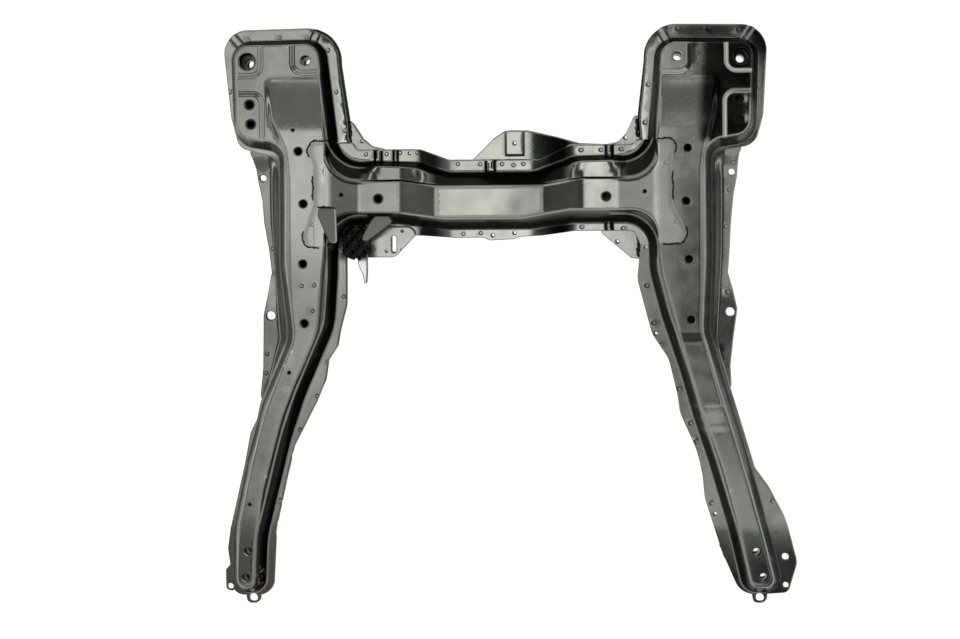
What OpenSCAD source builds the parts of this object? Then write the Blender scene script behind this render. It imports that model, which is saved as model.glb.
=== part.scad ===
// Front subframe of a van or car: two pressed rails, each an upper and a lower
// sheet closed along a flange, joined by a pressed cross-member whose ends lap
// over the rails, with gussets, brackets, crush sleeves and weld nuts.
// Millimetres. X across the vehicle, Y along the rails, Z up from the floor.

/* [Overall] */
// Width over the outer corners of the leg ends
width = 1000; // [980:5:1030]
// Length from the pads to the end lugs
length = 1010; // [990:5:1040]

/* [Sheet] */
// Thickness of the pressed sheets
sheet = 2.5; // [2:0.1:3]
// Thickness of the flat gussets and brackets
plate = 3; // [2:0.25:4]
// Gap left where one sheet laps over another
fit_gap = 0.3; // [0.15:0.05:0.6]

/* [Levels] */
// Height of the joint between the upper and the lower sheets
joint_z = 24; // [20:1:28]
// Height of the shoulder of the rails, which is also the pad level
shoulder_z = 80; // [74:1:86]
// Rise from the shoulder to the raised face
face_rise = 12; // [9:0.5:14]
// Rise of the middle of the cross-member
middle_rise = 14; // [8:1:18]
// Dip of the end panels of the cross-member below the saddles
cross_dip = 8; // [5:0.5:9]
// Drop of the flange at the very end of each leg
end_drop = 18; // [10:1:19]
// Drop of the outer wings below the joint
wing_drop = 14; // [8:1:16]

/* [Pressing] */
// How far a main wall leans in over its height
wall_run = 12; // [9:0.5:13]
// How far the rise to the raised face leans in
face_run = 2; // [1:0.25:2.5]
// Set-in of the lower pan from the foot of the wall
pan_inset = 5; // [4:0.5:5.5]
// How far the pan wall leans in
pan_run = 8; // [5:0.5:8]
// Depth of the recesses round the pad holes
recess_depth = 7; // [4:0.5:9]
// Dip of the right leg's face behind the kink
leg_dip = 7; // [3:0.5:8]

/* [Holes] */
// Radius of the access hole over the outer pad mount
access_r = 15; // [13:0.25:15.5]
// Radius of the bore of the outer pad mount
outer_bore_r = 7.5; // [6:0.25:9]
// Radius of the bore of the inner pad mount
inner_bore_r = 8.5; // [7:0.25:9.5]
// Radius of the side holes of the pads
side_hole_r = 9; // [7.5:0.25:9.5]
// Radius of the holes along the rail faces
rail_hole_r = 7.5; // [6.5:0.25:8.5]
// Radius of the holes in the ends of the cross-member
cross_hole_r = 8.5; // [7.5:0.25:9.5]
// Radius of the two holes near each leg end
leg_hole_r = 7.5; // [6.5:0.25:7.75]
// Radius of the holes in the end lugs
lug_hole_r = 7.5; // [6:0.25:8]
// Radius of the corner holes of the leg ends
corner_hole_r = 5.5; // [5:0.25:6]
// Radius of the front holes of the wings
wing_front_r = 8; // [6.5:0.25:8.5]
// Radius of the rear holes of the wings
wing_rear_r = 6; // [5:0.25:7]
// Radius of the small locating holes
pilot_r = 3; // [2:0.25:3.5]

/* [Fasteners] */
// Wall of the crush sleeves of the pads
sleeve_wall = 4; // [3:0.25:4.5]
// Wall of the crush sleeves of the leg ends
leg_sleeve_wall = 2.4; // [1.8:0.1:2.5]
// Depth of the wide mouth of the outer pad sleeve
mouth_depth = 30; // [20:1:40]
// Thread radius of the weld nuts
nut_bore_r = 6; // [5:0.25:6.5]
// Width over flats of the weld nuts
nut_flats = 19; // [17:0.5:20]
// Height of the weld nuts
nut_h = 11; // [8:0.5:13]

/* [Brackets] */
// Length of the slot in the slotted bracket
slot_length = 30; // [22:1:34]
// Width of that slot
slot_width = 9; // [7:0.5:11]
// Height of the pocket pressed up in the middle bracket
pocket_h = 4; // [2:0.5:6]
// Depth of the cheeks of the hanger
hanger_depth = 38; // [30:1:42]

/* [Hidden] */
face_z = shoulder_z + face_rise;
saddle_z = face_z + fit_gap + sheet;
kx = width / 1000;
ky = length / 1010;
bend_y = -370 * ky;
bend_len = 130 * ky;
wing_step = 0.1;
over = 6;
facet = 13;
far = 620;

// Outlines run anticlockwise, each corner as [x, y, corner radius].
left_foot = [
    [-317, 485, 36], [-482, 482, 34], [-477, 303, 42], [-396, 288, 22], [-396, 92, 120],
    [-381, -36, 60], [-429, -150, 300], [-456, -250, 300], [-482, -371, 200], [-485, -486, 28],
    [-429, -486, 26], [-424, -390, 200], [-381, -215, 300], [-356, -140, 300], [-303, -18, 120],
    [-297, 70, 150], [-295, 302, 150]];
left_face = [
    [-318, 410, 6], [-409, 410, 6], [-402, 345, 40], [-377, 288, 40], [-372, 235, 100],
    [-372, 62, 150], [-366, -44, 40], [-381, -76, 60], [-420, -177, 300], [-447, -286, 300],
    [-464, -385, 200], [-470, -467, 13], [-441, -467, 12], [-436, -390, 200], [-424, -305, 300],
    [-390, -177, 300], [-369, -123, 200], [-332, -29, 120], [-328, 62, 60], [-316, 118, 40],
    [-314, 300, 40], [-318, 335, 30]];
left_flange = [
    [-292, 505, 56], [-500, 501, 40], [-484, 350, 40], [-470, 296, 24], [-410, 280, 20],
    [-402, 255, 30], [-402, 90, 120], [-388, -36, 50], [-435, -150, 100], [-441, -180, 30],
    [-453, -204, 30], [-463, -258, 200], [-489, -371, 200], [-495, -408, 14], [-492, -432, 14],
    [-490, -491, 24], [-417, -491, 26], [-409, -372, 200], [-390, -285, 300], [-376, -228, 200],
    [-337, -152, 200], [-320, -112, 60], [-315, -78, 20], [-299, -54, 20], [-294, -26, 60],
    [-282, 20, 80], [-282, 118, 60], [-274, 302, 60], [-276, 345, 60], [-290, 440, 100]];
right_foot = [
    [440, 479, 34], [262, 481, 36], [247, 302, 150], [249, 76, 120], [270, -5, 150],
    [303, -105, 300], [322, -173, 300], [351, -262, 300], [383, -372, 200], [410, -486, 28],
    [480, -486, 28], [459, -401, 200], [434, -308, 300], [407, -214, 300], [379, -122, 200],
    [352, -28, 60], [357, 92, 120], [357, 288, 22], [434, 300, 40]];
right_face = [
    [361, 406, 6], [271, 406, 6], [271, 335, 30], [264, 300, 40], [266, 118, 40], [277, 66, 60],
    [293, 0, 120], [315, -92, 200], [336, -165, 300], [369, -256, 300], [396, -357, 200],
    [419, -467, 13], [456, -467, 13], [437, -389, 200], [407, -281, 300], [370, -162, 300],
    [343, -64, 100], [331, -24, 40], [334, 62, 120], [334, 245, 80], [340, 290, 40],
    [354, 345, 40]];
right_flange = [
    [455, 502, 44], [243, 505, 54], [240, 440, 100], [229, 345, 60], [232, 302, 40],
    [232, 110, 60], [227, 62, 40], [252, -34, 30], [281, -78, 50], [296, -142, 80],
    [300, -172, 40], [331, -242, 200], [339, -285, 50], [342, -320, 60], [371, -413, 300],
    [402, -484, 34], [428, -491, 20], [486, -487, 10], [501.5, -434, 34], [481, -357, 150],
    [452, -302, 60], [428, -268, 60], [415, -224, 200], [388, -134, 200], [358, -28, 50],
    [363, 90, 120], [363, 282, 18], [432, 294, 28], [446, 345, 60]];
cross_foot = [
    [244, 430, 3], [244, 279, 44], [114, 276, 50], [48, 250, 50], [-98, 250, 50],
    [-152, 268, 50], [-296, 273, 44], [-299, 430, 3], [-345, 430, 3], [-345, 0, 3],
    [-298, 0, 3], [-297, 160, 44], [-190, 161, 50], [-104, 150, 50], [48, 150, 50],
    [114, 160, 50], [248, 160, 44], [250, 0, 3], [300, 0, 3], [300, 430, 3]];
cross_face = [
    [286, 298, 3], [264, 298, 3], [264, 233, 52], [132, 234, 20], [68, 222, 20],
    [-121, 222, 20], [-182, 232, 20], [-313, 231, 56], [-313, 298, 3], [-330, 298, 3],
    [-330, 124, 3], [-313, 124, 3], [-313, 178, 46], [-182, 177, 30], [-105, 166, 30],
    [30, 166, 30], [112, 181, 30], [264, 181, 46], [264, 124, 3], [286, 124, 3]];
cross_flange = [
    [256, 304, 3], [226, 304, 6], [220, 296, 12], [112, 296, 30], [58, 270, 30],
    [-100, 270, 30], [-152, 290, 24], [-262, 290, 12], [-270, 303, 6], [-303, 303, 3],
    [-303, 119, 3], [-288, 119, 5], [-282, 140, 12], [-150, 140, 40], [-90, 135, 30],
    [-40, 135, 10], [-30, 130, 8], [13, 132, 8], [24, 136, 10], [62, 138, 30],
    [118, 146, 40], [222, 146, 12], [234, 119, 8], [258, 119, 3]];
left_saddle = [
    [-288, 302, 2], [-333, 302, 12], [-343, 288, 8], [-332, 262, 20], [-332, 192, 20],
    [-352, 138, 10], [-344, 119, 10], [-288, 119, 2]];
right_saddle = [
    [296, 301, 12], [240, 301, 2], [240, 121, 2], [302, 121, 12], [314, 138, 10],
    [288, 192, 20], [287, 258, 20]];

// Outlines of the recesses at the corners of the pads.
left_recesses = [
    [[-422, 520, 2], [-520, 520, 2], [-520, 415, 2], [-422, 415, 20]],
    [[-300, 520, 2], [-372, 520, 2], [-372, 420, 20], [-300, 420, 2]],
    [[-420, 389, 20], [-520, 389, 2], [-520, 290, 2], [-420, 290, 2]]];
right_recesses = [
    [[460, 520, 2], [379, 520, 2], [379, 416, 20], [460, 416, 2]],
    [[321, 520, 2], [240, 520, 2], [240, 415, 2], [321, 415, 20]],
    [[460, 386, 2], [376, 386, 20], [376, 290, 2], [460, 290, 2]]];

// Plates seen in plan.
left_rear_plan = [
    [-280, 345, 2], [-281, 282, 2], [-212, 282, 2], [-214, 291, 4], [-236, 296, 30],
    [-252, 310, 20], [-269, 336, 4]];
right_rear_plan = [
    [238, 345, 2], [222, 345, 4], [209, 316, 30], [192, 299, 20], [170, 295, 4],
    [170, 287, 2], [230, 287, 2], [238, 296, 2]];
right_front_plan = [
    [240, 152, 2], [164, 152, 2], [165, 142, 4], [217, 98, 4], [240, 96, 4]];
middle_plan = [
    [168, 296, 3], [128, 298, 40], [88, 309, 60], [38, 320, 12], [-3, 320, 12],
    [-24, 306, 20], [-58, 272, 4], [-58, 262, 2], [60, 262, 10],
    [100, 273, 10], [168, 274, 2]];
slotted_plan = [
    [-168, 155, 14], [-246, 156, 3], [-246, 102, 3], [-196, 102, 12], [-158, 142, 8]];
cover_plan = [
    [-202, 172.5, 3], [-226, 172.5, 3], [-232, 167, 6], [-247, 141, 8], [-250, 130, 4],
    [-240, 129, 4], [-195, 162, 6]];
corner_plan = [
    [-294, 186, 4], [-323, 186, 4], [-324, 172, 6], [-304, 126, 3], [-292, 126, 3]];

// Hole centres.
left_outer_mount = [-449, 443];
left_inner_mount = [-347, 444];
left_side_holes = [[-445, 368], [-443, 334]];
left_rail_holes = [[-358, 285], [-350, 194], [-351, 90], [-349, -13]];
left_leg_holes = [[-450, -408], [-455, -454]];
left_wing_holes = [[-418, 1, 1], [-430, 243, 0]];
right_outer_mount = [407, 443];
right_inner_mount = [297, 444];
right_side_holes = [[403, 370], [404, 335]];
right_rail_holes = [[314, 285], [311, 194], [315, 94], [318, -10]];
right_leg_holes = [[428, -410], [440, -454]];
right_wing_holes = [[388, 3, 1], [392, 247, 0]];
cross_holes = [[-220, 202], [174, 203]];
lugs = [[-452, -496], [437, -496]];
corner_ears = [[-492.5, -476], [482, -474]];

// Stations of the wings: [y, inner edge, bend, outer edge, share of the drop].
left_wing = [
    [290, -408, -424, -462, 0], [266, -399, -417, -444, 0.7], [240, -399, -417, -440, 1],
    [200, -399, -417, -431, 1], [165, -399, -416, -429, 1], [120, -399, -412, -421, 1],
    [78, -398, -409, -416, 1], [40, -393, -408, -423, 1], [2, -388, -407, -431, 1],
    [-40, -386, -404, -431, 0.8], [-90, -407, -416, -431, 0.4], [-150, -430, -433, -436, 0]];
right_wing = [
    [290, 375, 386, 424, 0], [266, 360, 378, 404, 0.7], [240, 360, 378, 399, 1],
    [205, 360, 378, 393, 1], [150, 360, 377, 389, 1], [110, 360, 376, 387, 1],
    [72, 359, 374, 384, 1], [40, 357, 372, 393, 1], [8, 356, 370, 400, 1],
    [-40, 358, 366, 393, 0.8], [-90, 370, 374, 387, 0.4], [-134, 384, 387, 389, 0]];

function at(p) = [p.x * kx, p.y * ky];
function unit(v) = v / norm(v);
function turn(u, v) = atan2(u.x * v.y - u.y * v.x, u.x * v.x + u.y * v.y);
function spin(v, a) = [v.x * cos(a) - v.y * sin(a), v.x * sin(a) + v.y * cos(a)];

// Points of one rounded corner b of an outline that is moved inwards by d.
function corner(a, b, c, d) =
    let (u = unit([b.x - a.x, b.y - a.y]),
         v = unit([c.x - b.x, c.y - b.y]),
         m = [-u.y, u.x],
         n = [-v.y, v.x],
         t = turn(u, v),
         r = max(0.5, t > 0 ? b.z - d : b.z + d),
         p = [b.x, b.y] + d * (m + n) / (1 + m * n),
         s = p - u * r * tan(abs(t) / 2),
         o = s + (t > 0 ? m : -m) * r,
         k = max(1, ceil(abs(t) / facet)))
    [for (i = [0:k]) o + spin(s - o, i * t / k)];

function ring(c, d = 0) =
    let (n = len(c),
         q = [for (p = c) [p.x * kx, p.y * ky, p.z]])
    [for (i = [0:n - 1]) each corner(q[(i + n - 1) % n], q[i], q[(i + 1) % n], d)];

function area2(a, b, c) = (b.x - a.x) * (c.y - a.y) - (b.y - a.y) * (c.x - a.x);
function inside(p, a, b, c) =
    area2(a, b, p) >= 0 && area2(b, c, p) >= 0 && area2(c, a, p) >= 0;
function is_ear(p, q, i, j, k) =
    area2(p[i], p[j], p[k]) > 0.000001
    && len([for (s = q) if (s != i && s != j && s != k && inside(p[s], p[i], p[j], p[k])) s]) == 0;

// Triangles that fill a closed outline.
function fill(p, q, i = 0, out = []) =
    len(q) == 3 ? concat(out, [q])
    : is_ear(p, q, q[i % len(q)], q[(i + 1) % len(q)], q[(i + 2) % len(q)])
    ? fill(p, [for (k = [0:len(q) - 1]) if (k != (i + 1) % len(q)) q[k]], i + 1,
           concat(out, [[q[i % len(q)], q[(i + 1) % len(q)], q[(i + 2) % len(q)]]]))
    : fill(p, q, i + 1, out);

// Solid between an outline at one height and the same outline moved in at another.
module draft(c, z0, in0, z1, in1) {
    low = ring(c, in0);
    high = ring(c, in1);
    n = len(low);
    caps = fill(high, [for (i = [0:n - 1]) i]);
    polyhedron(
        points = concat([for (p = low) [p.x, p.y, z0]], [for (p = high) [p.x, p.y, z1]]),
        faces = concat(
            [for (t = caps) [t[0], t[1], t[2]]],
            [for (t = caps) [t[2] + n, t[1] + n, t[0] + n]],
            [for (i = [0:n - 1]) [i, i + n, (i + 1) % n + n]],
            [for (i = [0:n - 1]) [i, (i + 1) % n + n, (i + 1) % n]]),
        convexity = 10);
}

// Slab with a side profile of [y, z] points, running right across.
module along_y(p) {
    rotate([90, 0, 90])
        linear_extrude(2 * far, center = true)
            polygon(p);
}

// Slab with a front profile of [x, z] points, running right along.
module along_x(p) {
    rotate([90, 0, 0])
        linear_extrude(2 * far, center = true)
            polygon(p);
}

module outline(c) {
    polygon(ring(c));
}

function drop(y) = y > bend_y ? 0 : end_drop * (bend_y - y) / bend_len;

// Sheet that follows the joint line, from height a to height b above it.
module joint_sheet(a, b) {
    along_y([[far, joint_z + a], [bend_y, joint_z + a], [-far, joint_z + a - drop(-far)],
             [-far, joint_z + b - drop(-far)], [bend_y, joint_z + b], [far, joint_z + b]]);
}

function mid_z(z) = [[-far, z], [-152 * kx, z], [-98 * kx, z + middle_rise],
                     [48 * kx, z + middle_rise], [114 * kx, z], [far, z]];
function flip(p) = [for (i = [len(p) - 1:-1:0]) p[i]];

// Sheet that follows the joint line of the cross-member.
module cross_sheet(a, b) {
    along_x(concat(flip(mid_z(joint_z + b)), mid_z(joint_z + a)));
}

// Body of a rail, a distance d inside its outer skin.
module rail_body(foot, face, top, d) {
    low = d > 0 ? joint_z - 6 : joint_z;
    intersection() {
        draft(foot, 0, d - wall_run * joint_z / (shoulder_z - joint_z), shoulder_z + over,
              d + wall_run * (shoulder_z + over - joint_z) / (shoulder_z - joint_z));
        along_y([[far, low], [bend_y, low], [-far, low - drop(-far)],
                 [-far, shoulder_z - d - drop(-far)], [bend_y, shoulder_z - d],
                 [far, shoulder_z - d]]);
    }
    intersection() {
        draft(face, shoulder_z - 20 - d, d - face_run * (20 + face_rise) / face_rise,
              face_z + 6 - d, d + face_run * 6 / face_rise);
        along_y(concat([[far, joint_z + 20], [far, shoulder_z - 20 - d], [440 * ky, shoulder_z - 5 - d]],
                       [for (p = top) [p.x * ky, p.y - d]],
                       [[bend_y, face_z - d], [-far, face_z - d - drop(-far)], [-far, joint_z]]));
    }
}

left_top = [[322, face_z]];
right_top = [[322, face_z], [-30, face_z], [-50, face_z - leg_dip], [-155, face_z - leg_dip],
             [-163, face_z - 0.55 * leg_dip], [-188, face_z - 0.55 * leg_dip], [-205, face_z]];

module left_body(d) {
    rail_body(left_foot, left_face, left_top, d);
}

module right_body(d) {
    rail_body(right_foot, right_face, right_top, d);
}

module recesses(list, d) {
    for (c = list)
        translate([0, 0, shoulder_z - recess_depth - d])
            linear_extrude(recess_depth + 40)
                polygon(ring(c, -d));
}

module drill(p, r) {
    translate([p.x * kx, p.y * ky, -20])
        cylinder(h = 200, r = r, $fn = 48);
}

// Drill that stops inside the box section, so that only the upper sheet is holed.
module drill_top(p, r) {
    translate([p.x * kx, p.y * ky, joint_z + 16])
        cylinder(h = 120, r = r, $fn = 48);
}

// Room left in the inner flange of a rail for the cross-member.
module cross_room(x) {
    translate([(x - 40) * kx, 116 * ky, joint_z - 12])
        cube([80 * kx, 190 * ky, 24]);
}

module rail_upper(foot, flange, face_side, list, x_room) {
    difference() {
        union() {
            difference() {
                intersection() {
                    linear_extrude(120)
                        outline(flange);
                    joint_sheet(0, sheet);
                }
                cross_room(x_room);
            }
            difference() {
                face_side_body(face_side, 0);
                recesses(list, 0);
            }
        }
        difference() {
            face_side_body(face_side, sheet);
            recesses(list, sheet);
        }
    }
}

module face_side_body(side, d) {
    if (side == "left")
        left_body(d);
    else
        right_body(d);
}

module left_rail_upper() {
    color([0.30, 0.31, 0.29])
        difference() {
            rail_upper(left_foot, left_flange, "left", left_recesses, -264);
            drill_top(left_outer_mount, access_r);
            drill_top(left_inner_mount, inner_bore_r);
            for (p = left_side_holes)
                drill_top(p, side_hole_r);
            for (p = left_rail_holes)
                drill_top(p, rail_hole_r);
            for (p = left_leg_holes)
                drill_top(p, leg_hole_r);
            drill_top([-367, 322], pilot_r);
            drill_top([-376, -98], pilot_r);
            drill_top([-446, -326], pilot_r);
            drill(lugs[0], lug_hole_r + 1);
            drill(corner_ears[0], corner_hole_r + 1);
        }
}

module right_rail_upper() {
    color([0.30, 0.31, 0.29])
        difference() {
            rail_upper(right_foot, right_flange, "right", right_recesses, 215);
            drill_top(right_outer_mount, access_r);
            drill_top(right_inner_mount, inner_bore_r);
            for (p = right_side_holes)
                drill_top(p, side_hole_r);
            for (p = right_rail_holes)
                drill_top(p, rail_hole_r);
            for (p = right_leg_holes)
                drill_top(p, leg_hole_r);
            drill([360, -348], pilot_r);
            drill([259, -34], pilot_r);
            drill(corner_ears[1], corner_hole_r);
            drill([481, -424], 1.2 * corner_hole_r);
            drill(lugs[1], lug_hole_r + 1);
        }
}

// Lower pan, a distance d inside its outer skin.
module pan_body(foot, d) {
    high = d > 0 ? joint_z + 1 : d < 0 ? joint_z + 8 : joint_z - 0.5;
    intersection() {
        draft(foot, -over, d + pan_inset + pan_run * (joint_z + over) / joint_z, joint_z + 10,
              d + pan_inset - pan_run * 10 / joint_z);
        along_y([[far, d], [far, high], [bend_y, high], [-far, high - drop(-far)], [-far, d]]);
    }
}

// Sheet laid through stations, each with an inner edge, a bend and an outer edge.
module wing(list) {
    n = len(list);
    z = joint_z - wing_step;
    top = [for (s = list) each [[s[1] * kx, s[0] * ky, z],
                                [s[2] * kx, s[0] * ky, z - wing_drop * s[4]],
                                [s[3] * kx, s[0] * ky, z - wing_drop * s[4]]]];
    m = 3 * n;
    flat = list[0][1] > list[0][3];
    sheet_faces = concat(
        [for (i = [0:n - 2]) for (j = [0:1]) [3 * i + j, 3 * i + j + 1, 3 * i + j + 4]],
        [for (i = [0:n - 2]) for (j = [0:1]) [3 * i + j, 3 * i + j + 4, 3 * i + j + 3]]);
    edge = concat([for (i = [0:n - 1]) 3 * i], [3 * n - 2, 3 * n - 1],
                  [for (i = [n - 2:-1:0]) 3 * i + 2], [1]);
    k = len(edge);
    rim = concat(
        [for (i = [0:k - 1]) [edge[i], edge[(i + 1) % k], edge[(i + 1) % k] + m]],
        [for (i = [0:k - 1]) [edge[i], edge[(i + 1) % k] + m, edge[i] + m]]);
    under = [for (f = sheet_faces) [f[2] + m, f[1] + m, f[0] + m]];
    all = concat(sheet_faces, under, rim);
    polyhedron(
        points = concat(top, [for (p = top) [p.x, p.y, p.z - sheet + 2 * wing_step]]),
        faces = flat ? [for (f = all) flip(f)] : all,
        convexity = 10);
}

module lug(p) {
    linear_extrude(60)
        hull() {
            translate(at(p))
                circle(r = lug_hole_r + 2, $fn = 40);
            translate(at(p) + [-14, 12])
                square([28, 4]);
        }
}

module rail_lower(foot, flange, list, p, x_room) {
    difference() {
        union() {
            difference() {
                intersection() {
                    union() {
                        linear_extrude(60)
                            outline(flange);
                        lug(p);
                    }
                    joint_sheet(-sheet, 0);
                }
                cross_room(x_room);
            }
            pan_body(foot, 0);
            wing(list);
        }
        pan_body(foot, sheet);
    }
}

module left_rail_lower() {
    color([0.27, 0.28, 0.26])
        difference() {
            union() {
                rail_lower(left_foot, left_flange, left_wing, lugs[0], -264);
                intersection() {
                    linear_extrude(60)
                        outline([[-480, -438, 2], [-493, -438, 5], [-500, -446, 5], [-500, -481, 7],
                                 [-486, -485, 4]]);
                    joint_sheet(-sheet, 0);
                }
            }
            drill(left_outer_mount, outer_bore_r);
            drill(left_inner_mount, inner_bore_r);
            for (p = left_leg_holes)
                drill(p, leg_hole_r);
            for (p = left_wing_holes)
                drill(p, p.z > 0 ? wing_front_r : wing_rear_r);
            drill(lugs[0], lug_hole_r);
            drill(corner_ears[0], corner_hole_r);
        }
}

module right_rail_lower() {
    color([0.27, 0.28, 0.26])
        difference() {
            rail_lower(right_foot, right_flange, right_wing, lugs[1], 215);
            drill(right_outer_mount, outer_bore_r);
            drill(right_inner_mount, inner_bore_r);
            for (p = right_leg_holes)
                drill(p, leg_hole_r);
            for (p = right_wing_holes)
                drill(p, p.z > 0 ? wing_front_r : wing_rear_r);
            drill(lugs[1], lug_hole_r);
            drill(corner_ears[1], corner_hole_r);
            drill([360, -348], pilot_r);
            drill([259, -34], pilot_r);
            drill([481, -424], 1.2 * corner_hole_r);
        }
}

function crown(z) = [[-far, z], [-309 * kx, z], [-252 * kx, z - cross_dip],
                     [-182 * kx, z - cross_dip], [-121 * kx, z + middle_rise],
                     [68 * kx, z + middle_rise], [132 * kx, z - cross_dip],
                     [194 * kx, z - cross_dip], [259 * kx, z], [far, z]];

// Body of the cross-member, a distance d inside its outer skin.
module cross_body(d) {
    low = d > 0 ? joint_z - 6 : joint_z;
    top = shoulder_z + sheet + fit_gap;
    intersection() {
        draft(cross_foot, 0, d - wall_run * joint_z / (top - joint_z), top + middle_rise + over,
              d + wall_run * (top + middle_rise + over - joint_z) / (top - joint_z));
        along_x(concat(flip(crown(top - d)), mid_z(low)));
        translate([0, 212 * ky, 0])
            cube([2 * far, 176 * ky, 2 * far], center = true);
    }
    intersection() {
        draft(cross_face, joint_z + 30, d - 3 * face_run, face_z + 40, d + 2 * face_run);
        along_x(concat(flip(crown(saddle_z - d)), [[-far, joint_z + 20], [far, joint_z + 20]]));
    }
}

module saddle_zone(c) {
    linear_extrude(300)
        outline(c);
}

module crossmember_upper() {
    color([0.34, 0.35, 0.33])
        difference() {
            union() {
                intersection() {
                    linear_extrude(120)
                        outline(cross_flange);
                    cross_sheet(0, sheet);
                }
                cross_body(0);
                intersection() {
                    left_body(-fit_gap - sheet);
                    saddle_zone(left_saddle);
                }
                intersection() {
                    right_body(-fit_gap - sheet);
                    saddle_zone(right_saddle);
                }
            }
            cross_body(sheet);
            left_body(-fit_gap);
            right_body(-fit_gap);
            for (p = cross_holes)
                drill_top(p, cross_hole_r);
            drill_top([-284, 209], pilot_r);
            drill_top([240, 211], pilot_r);
            drill([-170, 284], 0.8 * pilot_r);
            drill([-24, 139], pilot_r);
            drill([14, 143], pilot_r);
        }
}

// Lower pan of the cross-member, a distance d inside its outer skin.
module cross_pan(d) {
    high = d > 0 ? joint_z + 1 : joint_z - 0.5;
    intersection() {
        draft(cross_foot, -over, d + pan_inset + pan_run * (joint_z + over) / joint_z, joint_z + 30,
              d + pan_inset - pan_run * 30 / joint_z);
        along_x(concat(mid_z(high), [[far, d], [-far, d]]));
        translate([0, 215 * ky, 0])
            cube([2 * far, 168 * ky, 2 * far], center = true);
    }
}

module crossmember_lower() {
    color([0.27, 0.28, 0.26])
        difference() {
            union() {
                intersection() {
                    linear_extrude(120)
                        outline(cross_flange);
                    cross_sheet(-sheet, 0);
                }
                cross_pan(0);
            }
            cross_pan(sheet);
            pan_body(left_foot, -fit_gap);
            pan_body(right_foot, -fit_gap);
            drill([-170, 284], 0.8 * pilot_r);
            drill([-24, 139], pilot_r);
            drill([14, 143], pilot_r);
        }
}

// Flat plate under the lower sheets.
module under_plate(c) {
    translate([0, 0, joint_z - sheet - plate])
        linear_extrude(plate)
            outline(c);
}

module left_rear_gusset() {
    color([0.36, 0.37, 0.35])
        difference() {
            under_plate(left_rear_plan);
            drill([-254, 306], 0.8 * pilot_r);
        }
}

module right_rear_gusset() {
    color([0.36, 0.37, 0.35])
        difference() {
            under_plate(right_rear_plan);
            drill([208, 308], pilot_r);
        }
}

module right_front_gusset() {
    color([0.36, 0.37, 0.35])
        difference() {
            under_plate(right_front_plan);
            drill([193, 127], pilot_r);
        }
}

module middle_bracket() {
    color([0.36, 0.37, 0.35])
        difference() {
            union() {
                intersection() {
                    linear_extrude(120)
                        outline(middle_plan);
                    cross_sheet(-sheet - plate, -sheet);
                }
                translate([2 * kx, 282 * ky, joint_z + middle_rise - sheet])
                    linear_extrude(pocket_h)
                        square([26, 38]);
            }
            translate([2 * kx + plate, 282 * ky + plate, joint_z + middle_rise - sheet - plate - 1])
                linear_extrude(pocket_h + 1)
                    square([26 - 2 * plate, 40]);
            drill([15, 299], pilot_r);
        }
}

module slotted_bracket() {
    color([0.36, 0.37, 0.35])
        translate([0, 0, joint_z + sheet])
            difference() {
                linear_extrude(plate)
                    outline(slotted_plan);
                translate([-198 * kx, 125 * ky, -1])
                    linear_extrude(plate + 2)
                        hull() {
                            translate([0, slot_length / 2 - slot_width / 2])
                                circle(d = slot_width, $fn = 40);
                            translate([0, slot_width / 2 - slot_length / 2])
                                circle(d = slot_width, $fn = 40);
                        }
                for (p = [[-183, 148], [-184, 115], [-211, 113]])
                    translate([p.x * kx, p.y * ky, -1])
                        cylinder(h = plate + 2, r = 0.7 * pilot_r, $fn = 32);
            }
}

module cover_tab() {
    color([0.33, 0.34, 0.32])
        translate([0, 0, shoulder_z + sheet + fit_gap - cross_dip])
            linear_extrude(sheet)
                outline(cover_plan);
}

module corner_plate() {
    color([0.33, 0.34, 0.32])
        translate([0, 0, saddle_z])
            linear_extrude(sheet)
                outline(corner_plan);
}

module hanger_bracket() {
    top = shoulder_z + sheet + fit_gap - cross_dip;
    color([0.25, 0.26, 0.24])
        translate([-263 * kx, 54 * ky, top - hanger_depth])
            difference() {
                union() {
                    translate([0, 74, hanger_depth - plate])
                        cube([22, 26, plate]);
                    cube([plate, 100, hanger_depth]);
                    translate([22 - plate, 0, 0])
                        cube([plate, 100, hanger_depth]);
                }
                translate([-10, 12, hanger_depth / 2])
                    rotate([0, 90, 0])
                        cylinder(h = 60, r = nut_bore_r, $fn = 32);
                translate([-10, 36, -0.45 * hanger_depth])
                    cube([60, 26, hanger_depth]);
            }
}

floor_z = shoulder_z - recess_depth - sheet;

module outer_sleeve(p) {
    translate([p.x * kx, p.y * ky, sheet])
        difference() {
            union() {
                cylinder(h = floor_z - sheet - mouth_depth, r = outer_bore_r + sleeve_wall, $fn = 64);
                translate([0, 0, floor_z - sheet - mouth_depth - sleeve_wall])
                    cylinder(h = mouth_depth + sleeve_wall, r = access_r + sleeve_wall / 2, $fn = 64);
            }
            translate([0, 0, -1])
                cylinder(h = 120, r = outer_bore_r, $fn = 48);
            translate([0, 0, floor_z - sheet - mouth_depth])
                cylinder(h = mouth_depth + 1, r = access_r, $fn = 48);
        }
}

module inner_sleeve(p) {
    translate([p.x * kx, p.y * ky, sheet])
        difference() {
            cylinder(h = floor_z - sheet, r = inner_bore_r + sleeve_wall, $fn = 64);
            translate([0, 0, -1])
                cylinder(h = 120, r = inner_bore_r, $fn = 48);
        }
}

module left_outer_sleeve() {
    color([0.45, 0.45, 0.44])
        outer_sleeve(left_outer_mount);
}

module right_outer_sleeve() {
    color([0.45, 0.45, 0.44])
        outer_sleeve(right_outer_mount);
}

module left_inner_sleeve() {
    color([0.45, 0.45, 0.44])
        inner_sleeve(left_inner_mount);
}

module right_inner_sleeve() {
    color([0.45, 0.45, 0.44])
        inner_sleeve(right_inner_mount);
}

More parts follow.
